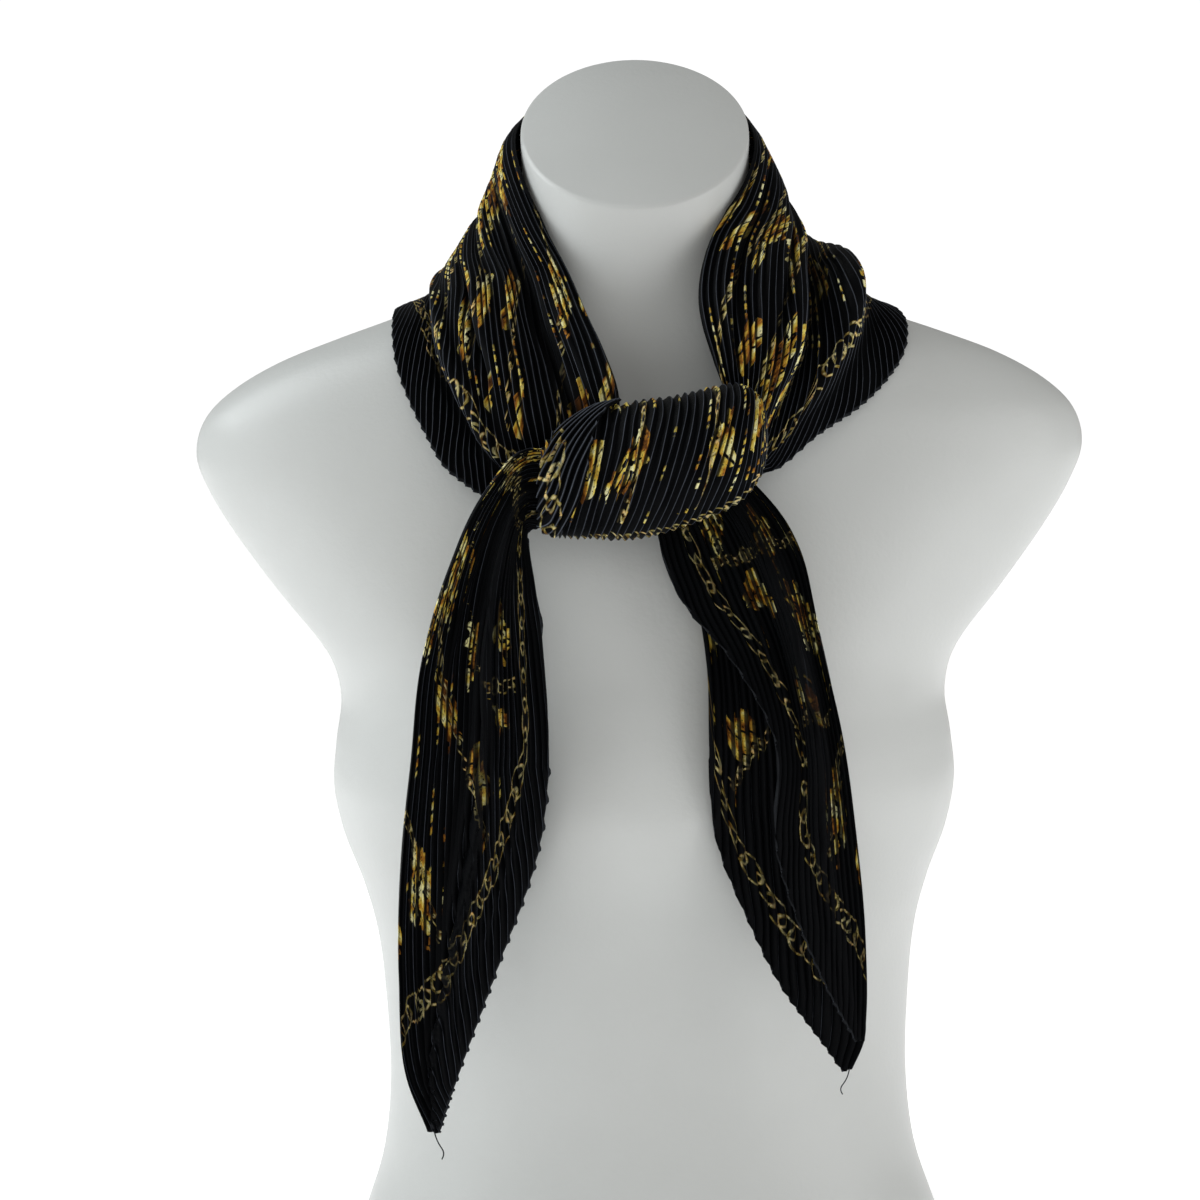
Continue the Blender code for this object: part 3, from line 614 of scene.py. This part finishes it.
def join_columns(mesh, left, right):
    """Faces between two columns whose points lie at different places."""
    i = 0
    j = 0
    while i < len(left) - 1 or j < len(right) - 1:
        next_left = left[i + 1][0] if i < len(left) - 1 else math.inf
        next_right = right[j + 1][0] if j < len(right) - 1 else math.inf
        corners = [left[i][1]]
        step_left = next_left <= next_right
        step_right = next_right <= next_left
        if step_left:
            corners.append(left[i + 1][1])
        if step_right:
            corners.append(right[j + 1][1])
        corners.append(right[j][1])
        mesh.faces.new(corners)
        i += step_left
        j += step_right


KNOT_ALONG = travelled(np.array(KNOT_RINGS)[:, [0, 2, 3]])


def knot_surface(shares, angles):
    """Points at shares of the knot's width and at angles round it."""
    where = shares.ravel() * KNOT_ALONG[-1]
    x, middle, high, deep = through(KNOT_ALONG, KNOT_RINGS, where).T
    turn = np.radians(angles.ravel())
    y = KNOT_MIDDLE_Y - deep * np.cos(turn)
    z = middle + high * np.sin(turn)
    return np.stack([x, y, z], axis=1).reshape(*shares.shape, 3)


def knot_share(x):
    return np.interp(x, [ring[0] for ring in KNOT_RINGS], KNOT_ALONG / KNOT_ALONG[-1])


def knot_sheet():
    turned, shares = np.meshgrid(
        np.linspace(0, 1, DENSE_ALONG), np.linspace(0, 1, DENSE_ACROSS), indexing="ij"
    )
    top, bottom = KNOT_ANGLES
    tuck = KNOT_TUCK * np.clip(1 - shares / KNOT_TUCKED, 0, 1) ** KNOT_TUCK_BLUNTNESS
    angles = top + (bottom - tuck - top) * turned
    turn = np.radians(angles)
    lean = KNOT_LEAN * np.sin(turn) + KNOT_BOW * shares * np.cos(turn)
    lean *= np.sin(math.pi * shares)
    grid = with_furrow_shading(with_normals(knot_surface(shares + lean, angles), 1))
    return grid, np.zeros(DENSE_ALONG), np.full(DENSE_ALONG, KNOT_PLEATS), {}


def flap_sheet():
    table = np.array(FLAP)
    knots = travelled(table[:, :2])
    rows = through(knots, table, np.linspace(0, knots[-1], DENSE_ALONG))
    share = np.linspace(0, 1, DENSE_ACROSS)[None, :]
    x = rows[:, 1:2] * (1 - share) + rows[:, 2:3] * share
    angles = rows[:, 0:1] + 0 * share
    grid = with_normals(knot_surface(knot_share(x), angles), -1)
    sunk = np.clip((rows[:, 0:1, None] - FLAP_SINKS_AT) / FLAP_SINKS_OVER, 0, 1) ** 2
    grid[:, :, :3] += FLAP_LIFT * (1 - FLAP_SINKS * sunk) * grid[:, :, 3:]
    return with_furrow_shading(grid), rows[:, 3], rows[:, 4], {}


# --- shaders ---


class Value:
    """A number in a shader's node tree. Arithmetic on it adds Math nodes."""

    def __init__(self, tree, socket):
        self.tree = tree
        self.socket = socket

    def math(self, operation, *others):
        node = self.tree.nodes.new("ShaderNodeMath")
        node.operation = operation
        fill(self.tree, node, self, *others)
        return Value(self.tree, node.outputs[0])

    __add__ = partialmethod(math, "ADD")
    __sub__ = partialmethod(math, "SUBTRACT")
    __mul__ = partialmethod(math, "MULTIPLY")
    __truediv__ = partialmethod(math, "DIVIDE")
    least = partialmethod(math, "MINIMUM")
    most = partialmethod(math, "MAXIMUM")

    def clamped(self):
        self.socket.node.use_clamp = True
        return self

    def below(self, edge, soft):
        """1 where this is under edge, 0 where it is over it, with a soft step between."""
        return ((self - edge) * (-1.0 / soft) + 0.5).clamped()

    def above(self, edge, soft):
        return self.below(edge, soft) * -1.0 + 1.0


def fill(tree, node, *values):
    for socket, value in zip(node.inputs, values):
        if isinstance(value, Value):
            tree.links.new(value.socket, socket)
        else:
            socket.default_value = value


def attribute(tree, name):
    node = tree.nodes.new("ShaderNodeAttribute")
    node.attribute_name = name
    return Value(tree, node.outputs["Fac"])


def vector(tree, *values):
    node = tree.nodes.new("ShaderNodeCombineXYZ")
    fill(tree, node, *values)
    return node.outputs[0]


def noise(tree, where, scale, detail=2.0):
    node = tree.nodes.new("ShaderNodeTexNoise")
    node.inputs["Scale"].default_value = scale
    node.inputs["Detail"].default_value = detail
    tree.links.new(where, node.inputs["Vector"])
    return Value(tree, node.outputs["Fac"])


def chances(tree, where):
    """Three even random numbers for each whole-numbered place."""
    node = tree.nodes.new("ShaderNodeTexWhiteNoise")
    node.noise_dimensions = "3D"
    tree.links.new(where, node.inputs["Vector"])
    parts = tree.nodes.new("ShaderNodeSeparateColor")
    tree.links.new(node.outputs["Color"], parts.inputs[0])
    return [Value(tree, socket) for socket in parts.outputs]


def mixed(tree, share, first, second):
    node = tree.nodes.new("ShaderNodeMix")
    node.data_type = "RGBA"
    tree.links.new(share.socket, node.inputs["Factor"])
    for socket, colour in ((node.inputs["A"], first), (node.inputs["B"], second)):
        if isinstance(colour, tuple):
            socket.default_value = (*colour, 1.0)
        else:
            tree.links.new(colour, socket)
    return node.outputs["Result"]


def ramp(tree, share, stops):
    node = tree.nodes.new("ShaderNodeValToRGB")
    tree.links.new(share.socket, node.inputs[0])
    bar = node.color_ramp
    while len(bar.elements) < len(stops):
        bar.elements.new(0.5)
    for element, (place, colour) in zip(bar.elements, stops):
        element.position = place
        element.color = (*colour, 1.0)
    return node.outputs["Color"]


def oval(x, y, half_length, half_width):
    """How far out a place lies in an oval, which is 1 on its line."""
    x = x / half_length
    y = y / half_width
    return (x * x + y * y).math("SQRT")


def chain(h, d, middle, pitch, length, width, wire):
    """The distance from the wire of a chain's links, in millimetres, less the wire's half width."""
    found = None
    for shift, slim in ((0.0, 1.0), (0.5, 0.7)):
        x = ((h / pitch + shift).math("FRACT") - 0.5) * pitch
        y = d - middle
        away = (oval(x, y, 0.5 * length, 0.5 * width * slim) - 1.0).math("ABSOLUTE")
        away = away * (0.5 * width * slim) - wire
        found = away if found is None else found.least(away)
    return found


def new_material(name, constants):
    made = bpy.data.materials.new(name)
    made.use_nodes = True
    shader = made.node_tree.nodes["Principled BSDF"]
    for socket, value in constants.items():
        shader.inputs[socket].default_value = value
    return made, made.node_tree, shader


def own_place(tree):
    return tree.nodes.new("ShaderNodeTexCoord").outputs["Object"]


def add_bump(tree, shader, height, strength, distance):
    bump = tree.nodes.new("ShaderNodeBump")
    bump.inputs["Strength"].default_value = strength
    bump.inputs["Distance"].default_value = distance
    tree.links.new(height.socket, bump.inputs["Height"])
    tree.links.new(bump.outputs[0], shader.inputs["Normal"])


BLACK = (0.0016, 0.0019, 0.0026)
CREST_HIGHLIGHT = (0.125, 0.140, 0.172)  # painted highlight along the ridges of the pleats
# painted highlight along the rolled hem
HEM_HIGHLIGHT = (0.030, 0.033, 0.038)
LINKS = (
    (0.36, (0.09, 0.045, 0.010)),
    (0.45, (0.30, 0.25, 0.08)),
    (0.54, (0.62, 0.56, 0.30)),
    (0.64, (0.88, 0.60, 0.24)),
)
GOLDS = (
    (0.30, (0.12, 0.045, 0.010)),
    (0.38, (0.42, 0.17, 0.025)),
    (0.46, (0.64, 0.40, 0.05)),
    (0.56, (0.82, 0.66, 0.13)),
    (0.68, (0.94, 0.90, 0.50)),
)

# Sizes in the print are in millimetres of flat cloth.
BORDER_CHAIN = (24.0, 17.0, 9.0, 0.30)  # link to link, a link's length and width, half its wire
CROSS_CHAIN = (15.0, 11.0, 5.5, 0.34)  # the same for the chains that cross the field
CROSS_APART = 76.0
CHAIN_MIDDLE = 28.0  # from the hem
FIELD_EDGE = 38.0
CELL = (45.0, 41.0)  # one motif's room, along the hem and away from it
ROW_START = 0.37  # how far each row starts past the last, as a share of a cell
SLIP = 13.0  # how far apart the prints of two pleats may start
STRAY = 10.0  # and two motifs in their cells
MOTIF_SCALE = 0.88
ROSETTES = 0.34  # share of the motifs that are rosettes
LEAVES = 0.62  # and that are rosettes or leaves; the rest are tassels
PRINTED = 0.66  # share of the cells with a motif
ROSETTE_RADIUS = 13.5
ROSETTE_HEART = 4.4
RIM = 0.63  # as a share of the rosette's radius
LEAF_WIDTH = 8.2
TASSEL = (7.0, 15.0)  # half its width and half its length
PLEAT_TURN = 0.66  # how far the pleats turn from the line square to the hem
DASHED = 0.32  # share of the pleats
SHARP = 0.001  # width of a step between two kinds
WEAVE = 12.0  # radians for each millimetre


class FlatCloth:
    """Where a point lies in the flat cloth and in its pleat."""

    def __init__(self, tree):
        across = attribute(tree, "across")
        to_hem = attribute(tree, "to_hem")
        self.along = attribute(tree, "along")
        self.crest = attribute(tree, "crest")
        self.pleat = attribute(tree, "pleat").math("FLOOR")
        self.furrow_shading = attribute(tree, "furrow_shading")
        self.beside_hem = across * HEM_SLOPE + to_hem * (HEM_SLANT / HEM_SLOPE)
        self.from_hem = to_hem / HEM_SLOPE
        # h and d go by one end of the pleats, so that the field's print runs on to both hems.
        self.h = across * HEM_SLOPE + self.along * (HEM_SLANT / HEM_SLOPE)
        self.d = self.along / HEM_SLOPE
        self.place = vector(tree, self.h, self.d, 0.0)
        self.weave = (across * WEAVE).math("SINE") * (to_hem * WEAVE).math("SINE")
        self.luck = chances(tree, vector(tree, self.pleat, 7.0, 1.0))


def motifs(tree, cloth):
    """The ink of the rosettes, leaves and tassels, and what makes the petals lighter."""
    # Each pleat's print lies a little higher or lower than its neighbours'.
    slipped = (cloth.luck[0] - 0.5) * SLIP
    print_h = cloth.h + slipped * (HEM_SLANT / HEM_SLOPE)
    print_d = (cloth.d - FIELD_EDGE + slipped / HEM_SLOPE) / CELL[1]
    row = print_d.math("FLOOR")
    lane = print_h / CELL[0] + row * ROW_START
    luck = chances(tree, vector(tree, lane.math("FLOOR"), row, 3.0))
    ragged = noise(tree, cloth.place, 0.22, 1.0) - 0.5
    x = (lane.math("FRACT") - 0.5) * CELL[0] + (luck[1] - 0.5) * STRAY + ragged * 7.0
    y = (print_d.math("FRACT") - 0.5) * CELL[1] - ragged * 5.0
    x, y = x * MOTIF_SCALE, y * MOTIF_SCALE
    rosettes = luck[1].below(ROSETTES, SHARP)
    leaves = luck[1].below(LEAVES, SHARP) - rosettes
    tassels = (rosettes + leaves) * -1.0 + 1.0
    # Tassels hang nearly along the pleats, and the other motifs lie at any angle.
    turn = luck[0] * (2 * math.pi) * (rosettes + leaves)
    turn = turn + (luck[0] * 0.5 + PLEAT_TURN) * tassels
    cosine = turn.math("COSINE")
    sine = turn.math("SINE")
    across = x * cosine - y * sine
    along = x * sine + y * cosine
    beside = across.math("ABSOLUTE")
    radius = oval(along, across, 1.0, 1.0)
    angle = along.math("ARCTAN2", across)

    petals = (angle * 9.0).math("COSINE") * 0.10 + 0.90
    rosette = radius / (petals * ROSETTE_RADIUS)
    spokes = ((angle * 4.5).math("SINE").math("ABSOLUTE") * radius * 0.22).below(0.42, 0.3)
    spokes = spokes * radius.above(ROSETTE_HEART, 0.1)
    leaf = beside / ((along * 0.112).math("COSINE") * LEAF_WIDTH).most(0.05)
    midrib = beside.below(0.5, 0.3)
    tassel = (beside / TASSEL[0]).most(along.math("ABSOLUTE") / TASSEL[1])
    strands = ((across * 1.9).math("COSINE") * -1.0).below(-0.35, 0.25) * along.below(9.0, 0.3)

    form = rosette * rosettes + leaf * leaves + tassel * tassels
    veins = spokes * rosettes + midrib * leaves + strands * tassels
    rim = (form - RIM).math("ABSOLUTE").below(0.055, 0.03) * rosettes
    ink = form.below(1.0, 0.03) * (veins * -1.0 + 1.0) * (rim * -1.0 + 1.0)
    ink = ink * luck[2].below(PRINTED, SHARP)
    return ink, (form.below(RIM, 0.05) * -0.13 + 0.05) * rosettes


def dashes(tree, cloth):
    """Lines of dashes along some of the pleats, on their ridges."""
    run = noise(tree, vector(tree, cloth.pleat * 3.7, cloth.along * 0.045, 5.0), 1.0, 1.0)
    broken = (cloth.along * 0.19 + cloth.luck[1] * 5.0).math("FRACT").below(0.62, 0.1)
    ink = cloth.luck[2].below(DASHED, SHARP) * run.above(0.53, 0.04) * broken
    return ink * cloth.crest.above(0.3, 0.3)


def cloth_material():
    made, tree, shader = new_material("pleated modal", {
        "Specular IOR Level": 0.05,
        "Sheen Weight": 0.01,
        "Sheen Roughness": 0.4,
        "Sheen Tint": (0.75, 0.85, 1.0, 1.0),
    })
    cloth = FlatCloth(tree)
    inside = cloth.from_hem.above(FIELD_EDGE, 0.1)
    wobble = noise(tree, cloth.place, 0.05) - 0.5
    border = chain(cloth.beside_hem, cloth.from_hem + wobble * 3.0, CHAIN_MIDDLE, *BORDER_CHAIN)
    border = border.below(0.0, 0.32)
    lines = ((cloth.h / CROSS_APART).math("FRACT") - 0.5) * CROSS_APART + wobble * 12.0
    cross = chain(cloth.d, lines, 0.0, *CROSS_CHAIN).below(0.0, 0.3) * inside
    motif, lighter = motifs(tree, cloth)

    # Painted shade: the print is faded out in the valleys and at the foot of each pleat, and
    # darkened in the furrows between folds.
    valley = cloth.crest.below(-0.3, 0.3)
    ink = (motif * inside).most(cross) * (valley * -0.9 + 1.0)
    ink = (border * (valley * -0.45 + 1.0)).most(ink).most(dashes(tree, cloth) * inside)
    speck = noise(tree, cloth.place, 0.9)
    ink = ink * speck.below(0.62, 0.12) * (cloth.crest.below(-0.6, 0.3) * -0.6 + 1.0)
    ink = ink * cloth.furrow_shading

    blotch = noise(tree, cloth.place, 0.13, 3.0)
    shade = (blotch - 0.5) * 1.5 + 0.49 + (cloth.luck[1] - 0.5) * 0.16 + lighter
    links = ramp(tree, noise(tree, cloth.place, 0.32), LINKS)
    gold = mixed(tree, border.most(cross) * 0.9, ramp(tree, shade, GOLDS), links)
    # Painted highlight along the ridges of the pleats, dimmed by the painted shade in the furrows.
    ridge_highlight = ((cloth.crest - 0.78) * 4.5).clamped() * cloth.furrow_shading
    ground = mixed(tree, ridge_highlight * (noise(tree, cloth.place, 0.25) * 0.8 + 0.35), BLACK, CREST_HIGHLIGHT)
    # A painted highlight along the rolled hem.
    ground = mixed(tree, cloth.from_hem.below(0.8, 0.5) * 0.5, ground, HEM_HIGHLIGHT)
    tree.links.new(mixed(tree, ink, ground, gold), shader.inputs["Base Color"])

    rough = speck * 0.2 + 0.45 + ink * 0.1
    tree.links.new(rough.socket, shader.inputs["Roughness"])
    add_bump(tree, shader, cloth.weave, 0.35, 0.00006)
    return made


SHELL_COLOURS = ((0.3, (0.60, 0.615, 0.605)), (0.7, (0.645, 0.66, 0.65)))
THREAD_COLOURS = ((0.35, (0.004, 0.005, 0.007)), (0.65, (0.022, 0.024, 0.030)))


def form_material():
    made, tree, shader = new_material("white moulded shell", {"Specular IOR Level": 0.5})
    where = own_place(tree)
    colour = ramp(tree, noise(tree, where, 9.0, 3.0), SHELL_COLOURS)
    tree.links.new(colour, shader.inputs["Base Color"])
    rough = noise(tree, where, 60.0, 4.0) * 0.12 + 0.30
    tree.links.new(rough.socket, shader.inputs["Roughness"])
    peel = noise(tree, where, 420.0)
    swell = noise(tree, where, 35.0)
    add_bump(tree, shader, peel + swell * 2.0, 0.5, 0.00022)
    return made


def thread_material():
    made, tree, shader = new_material("hem thread", {"Specular IOR Level": 0.15})
    where = own_place(tree)
    fibre = noise(tree, where, 2600.0)
    tree.links.new(ramp(tree, fibre, THREAD_COLOURS), shader.inputs["Base Color"])
    rough = fibre * 0.3 + 0.45
    tree.links.new(rough.socket, shader.inputs["Roughness"])
    return made


# --- pieces ---


def add_object(name, data):
    made = bpy.data.objects.new(name, data)
    bpy.context.scene.collection.objects.link(made)
    return made


def add_piece(name, mesh):
    data = bpy.data.meshes.new(name)
    mesh.to_mesh(data)
    mesh.free()
    data.shade_smooth()
    return add_object(name, data)


FORM_AROUND = 144
FORM_UP = 181
FORM_SHARP_ANGLE = 50.0  # edges turned further stay sharp


def build_form(material):
    mesh = bmesh.new()
    turns = np.linspace(0, 2 * math.pi, FORM_AROUND, endpoint=False)
    rings = []
    levels = form_levels(len(FORM_RINGS) - 2, FORM_UP)
    for height, width, front, back, tilt in (*levels, FORM_RINGS[-1]):
        y = np.sin(turns) * np.where(np.sin(turns) < 0, front, back)
        points = np.stack([width * np.cos(turns), y, np.maximum(height + tilt * y, 0.0)], axis=1)
        rings.append([mesh.verts.new(MM * point) for point in points])
    for lower, upper in zip(rings, rings[1:]):
        for k in range(FORM_AROUND):
            after = (k + 1) % FORM_AROUND
            mesh.faces.new((lower[k], lower[after], upper[after], upper[k]))
    mesh.faces.new(rings[0][::-1])
    mesh.faces.new(rings[-1])
    made = add_piece("form_shell", mesh)
    made.data.set_sharp_from_angle(angle=math.radians(FORM_SHARP_ANGLE))
    made.data.materials.append(material)
    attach(made, "root")
    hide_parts("form")


COLLAR_CREASES = (
    # start (place, share), end (place, share), depth, width
    (("left knot", .27), ("left side", .20), -6.0, .030),
    (("left low", .36), ("left side", .31), 3.0, .035),
    (("left low", .57), ("left shoulder", .50), -5.0, .025),
    (("left below", .13), ("left high", .12), 2.4, .030),
    (("left below", .70), ("left side", .70), 3.0, .028),
    (("left knot", .80), ("left shoulder", .78), -2.4, .022),
    (("right below", .17), ("right side", .12), -4.0, .024),
    (("right low", .35), ("right nape", .28), -4.5, .026),
    (("right below", .26), ("right shoulder", .22), 2.0, .030),
    (("right middle", .68), ("right side", .62), 5.5, .060),
    (("left shoulder", .40), ("nape", .34), -2.4, .030),
    (("nape", .60), ("right side", .55), 2.4, .040),
    (("left nape", .72), ("right nape", .66), -2.0, .035),
)
LEFT_CREASES = (
    (("mouth", .33), ("middle", .20), -2.4, .04),
    (("bend", .535), ("tip", .475), 3.6, .026),
    (("bend", .585), ("tip", .525), -5.0, .022),
    (("upper", .86), ("low", .80), -1.6, .04),
)
RIGHT_CREASES = (
    (("top", .55), ("bust", .78), -2.2, .04),
    (("upper", .30), ("low", .45), -3.0, .03),
)
BACK_CREASES = (
    (("armpit level", .45), ("lower", .50), -1.8, .08),
)

NECK_LOOK = Look(rows=120, finer=1.5)
WRAP_LOOK = Look(rows=60, finer=1.4, deeper=0.85, enlarged=(1.2, 0.8))
FLAP_LOOK = Look(rows=50, finer=0.85, enlarged=(1.4, 1.5), cut=0.25)
TAILS = (
    # piece, node, sections, facing, creases, look
    ("left_tail", "scarf_tail_left", TAIL_LEFT, -1, LEFT_CREASES,
     Look(120, 1.25, along_edge=("lower", 11.5), panel=(("bend", .56), ("tip", .50)))),
    ("right_tail", "scarf_tail_right", TAIL_RIGHT, 1, RIGHT_CREASES,
     Look(110, 1.1, along_edge=("below bust", 9.0))),
    ("right_tail_behind", "scarf_tail_right_back", TAIL_RIGHT_BACK, 1, BACK_CREASES,
     Look(110, 1.1, chain_at=32.0)),
)


def add_cloth(name, nodes, pleats, material):
    made, flat, area = fine_sheet(name, pleats)
    made.data.materials.append(material)
    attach(made, "root")
    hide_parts(*nodes)


def build_scarf(material, threads):
    sheet = sheet_from_sections(COLLAR, 1, COLLAR_CREASES)
    pleats = Pleats(*sheet, ("start", "end"), SEED, NECK_LOOK)
    nodes = ("scarf_neck_left", "scarf_nape", "scarf_neck_right")
    add_cloth("scarf_neck", nodes, pleats, material)
    for seed, (name, node, sections, facing, creases, look) in enumerate(TAILS, SEED + 1):
        sheet = sheet_from_sections(sections, facing, creases)
        pleats = Pleats(*sheet, ("end",), seed, look)
        add_cloth(name, (node,), pleats, material)
    pleats = Pleats(*knot_sheet(), (), SEED + 5, WRAP_LOOK)
    add_cloth("knot_wrap", ("scarf_knot",), pleats, material)
    pleats = Pleats(*flap_sheet(), ("end",), SEED + 6, FLAP_LOOK)
    add_cloth("knot_flap", ("scarf_knot_flap",), pleats, material)


HEM_THREADS = (
    # name, the tail that it hangs from, radius, points
    ("left_thread", "left_tail", 0.28,
     ((-92.4, -120.6, 213.5), (-91.4, -121.6, 209.0), (-88.6, -121.2, 205.5),
      (-88.2, -120.6, 203.0), (-89.4, -120.8, 201.0))),
    ("right_thread", "right_tail_behind", 0.26,
     ((84.0, -116.4, 236.5), (83.2, -117.8, 232.5), (80.4, -118.0, 229.8),
      (79.8, -117.4, 227.4), (81.0, -117.2, 225.6))),
)


def build_threads(material):
    threads = {}
    for name, tail, radius, points in HEM_THREADS:
        data = bpy.data.curves.new(name, "CURVE")
        data.dimensions = "3D"
        data.bevel_depth = MM * radius
        data.bevel_resolution = 2
        data.use_fill_caps = True
        line = data.splines.new("NURBS")
        line.points.add(len(points) - 1)
        for place, point in zip(line.points, points):
            place.co = (*(MM * value for value in point), 1.0)
        line.use_endpoint_u = True
        line.order_u = 4
        line.resolution_u = 8
        made = add_object(name, data)
        made.data.materials.append(material)
        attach(made, "root")
        threads[tail] = made
    return threads


# --- the stage ---

TARGET = Vector((-0.0186, 0.0, 0.424))
CAMERA_DISTANCE = 1.6
CAMERA_LIFT = 7.0  # degrees above level
CAMERA_ROLL = 0.9
FRAME_WIDTH = 0.54  # metres across at the target
SENSOR = 36.0


def add_camera():
    lift = math.radians(CAMERA_LIFT)
    roll = math.radians(CAMERA_ROLL)
    ahead = Vector((0.0, math.cos(lift), -math.sin(lift)))
    level = Vector((1.0, 0.0, 0.0))
    upright = level.cross(ahead)
    right = level * math.cos(roll) - upright * math.sin(roll)
    up = right.cross(ahead)
    data = bpy.data.cameras.new("camera")
    data.sensor_width = SENSOR
    data.lens = SENSOR / (FRAME_WIDTH / CAMERA_DISTANCE)
    made = add_object("camera", data)
    turned = Matrix((right, up, -ahead)).transposed().to_4x4()
    turned.translation = TARGET - ahead * CAMERA_DISTANCE
    made.matrix_world = turned
    bpy.context.scene.camera = made


LIT = Vector((0.0, 0.0, 0.45))  # what the lights face
LIGHTS = (
    # name, place, width, height, power, colour
    ("left window", (-1.4, 0.1, 1.7), 1.0, 1.2, 16.0, (0.93, 0.98, 1.0)),
    ("left wall", (-1.7, -0.5, 0.8), 1.0, 1.6, 5.0, (0.93, 0.98, 1.0)),
    ("right window", (1.6, -0.8, 0.8), 1.2, 1.6, 8.5, (1.0, 1.0, 1.0)),
    ("front strip", (-0.1, -2.2, 1.3), 0.4, 1.6, 2.2, (1.0, 0.99, 0.97)),
)


def add_light(name, place, width, height, power, colour):
    data = bpy.data.lights.new(name, "AREA")
    data.shape = "RECTANGLE"
    data.size = width
    data.size_y = height
    data.energy = power
    data.color = colour
    made = add_object(name, data)
    made.location = place
    made.rotation_euler = (LIT - Vector(place)).to_track_quat("-Z", "Y").to_euler()


FLOOR_RADIUS = 3.0
FLOOR_DROP = 0.0005
FLOOR_GLOW = 0.78
SHADOW_RADIUS = 0.42
SHADOW_STEP = 0.5


def add_floor():
    mesh = bmesh.new()
    bmesh.ops.create_circle(mesh, cap_ends=True, segments=96, radius=FLOOR_RADIUS)
    made = add_piece("floor", mesh)
    made.location.z = -FLOOR_DROP
    material, tree, shader = new_material("pale floor", {
        "Base Color": (0.85, 0.85, 0.85, 1.0),
        "Roughness": 0.7,
        "Emission Color": (1.0, 1.0, 1.0, 1.0),
    })
    parts = tree.nodes.new("ShaderNodeSeparateXYZ")
    tree.links.new(own_place(tree), parts.inputs[0])
    x, y, _ = (Value(tree, socket) for socket in parts.outputs)
    away = (x * x + y * y).math("SQRT")
    glow = away.above(SHADOW_RADIUS, SHADOW_STEP) * FLOOR_GLOW
    tree.links.new(glow.socket, shader.inputs["Emission Strength"])
    made.data.materials.append(material)


BACKGROUNDS = (
    # colour, strength: what lights the part, then what the camera sees
    ((1.0, 0.985, 0.945, 1.0), 0.31),
    ((1.0, 1.0, 1.0, 1.0), 1.05),
)


def set_world():
    world = bpy.data.worlds.new("white room")
    bpy.context.scene.world = world
    world.use_nodes = True
    tree = world.node_tree
    tree.nodes.clear()
    path = tree.nodes.new("ShaderNodeLightPath")
    mix = tree.nodes.new("ShaderNodeMixShader")
    tree.links.new(path.outputs["Is Camera Ray"], mix.inputs[0])
    for socket, (colour, strength) in zip(mix.inputs[1:], BACKGROUNDS):
        node = tree.nodes.new("ShaderNodeBackground")
        node.inputs["Color"].default_value = colour
        node.inputs["Strength"].default_value = strength
        tree.links.new(node.outputs[0], socket)
    out = tree.nodes.new("ShaderNodeOutputWorld")
    tree.links.new(mix.outputs[0], out.inputs[0])


bpy.context.scene.view_settings.view_transform = "Standard"
add_camera()
set_world()
add_floor()
for light in LIGHTS:
    add_light(*light)
build_form(form_material())
build_scarf(cloth_material(), build_threads(thread_material()))
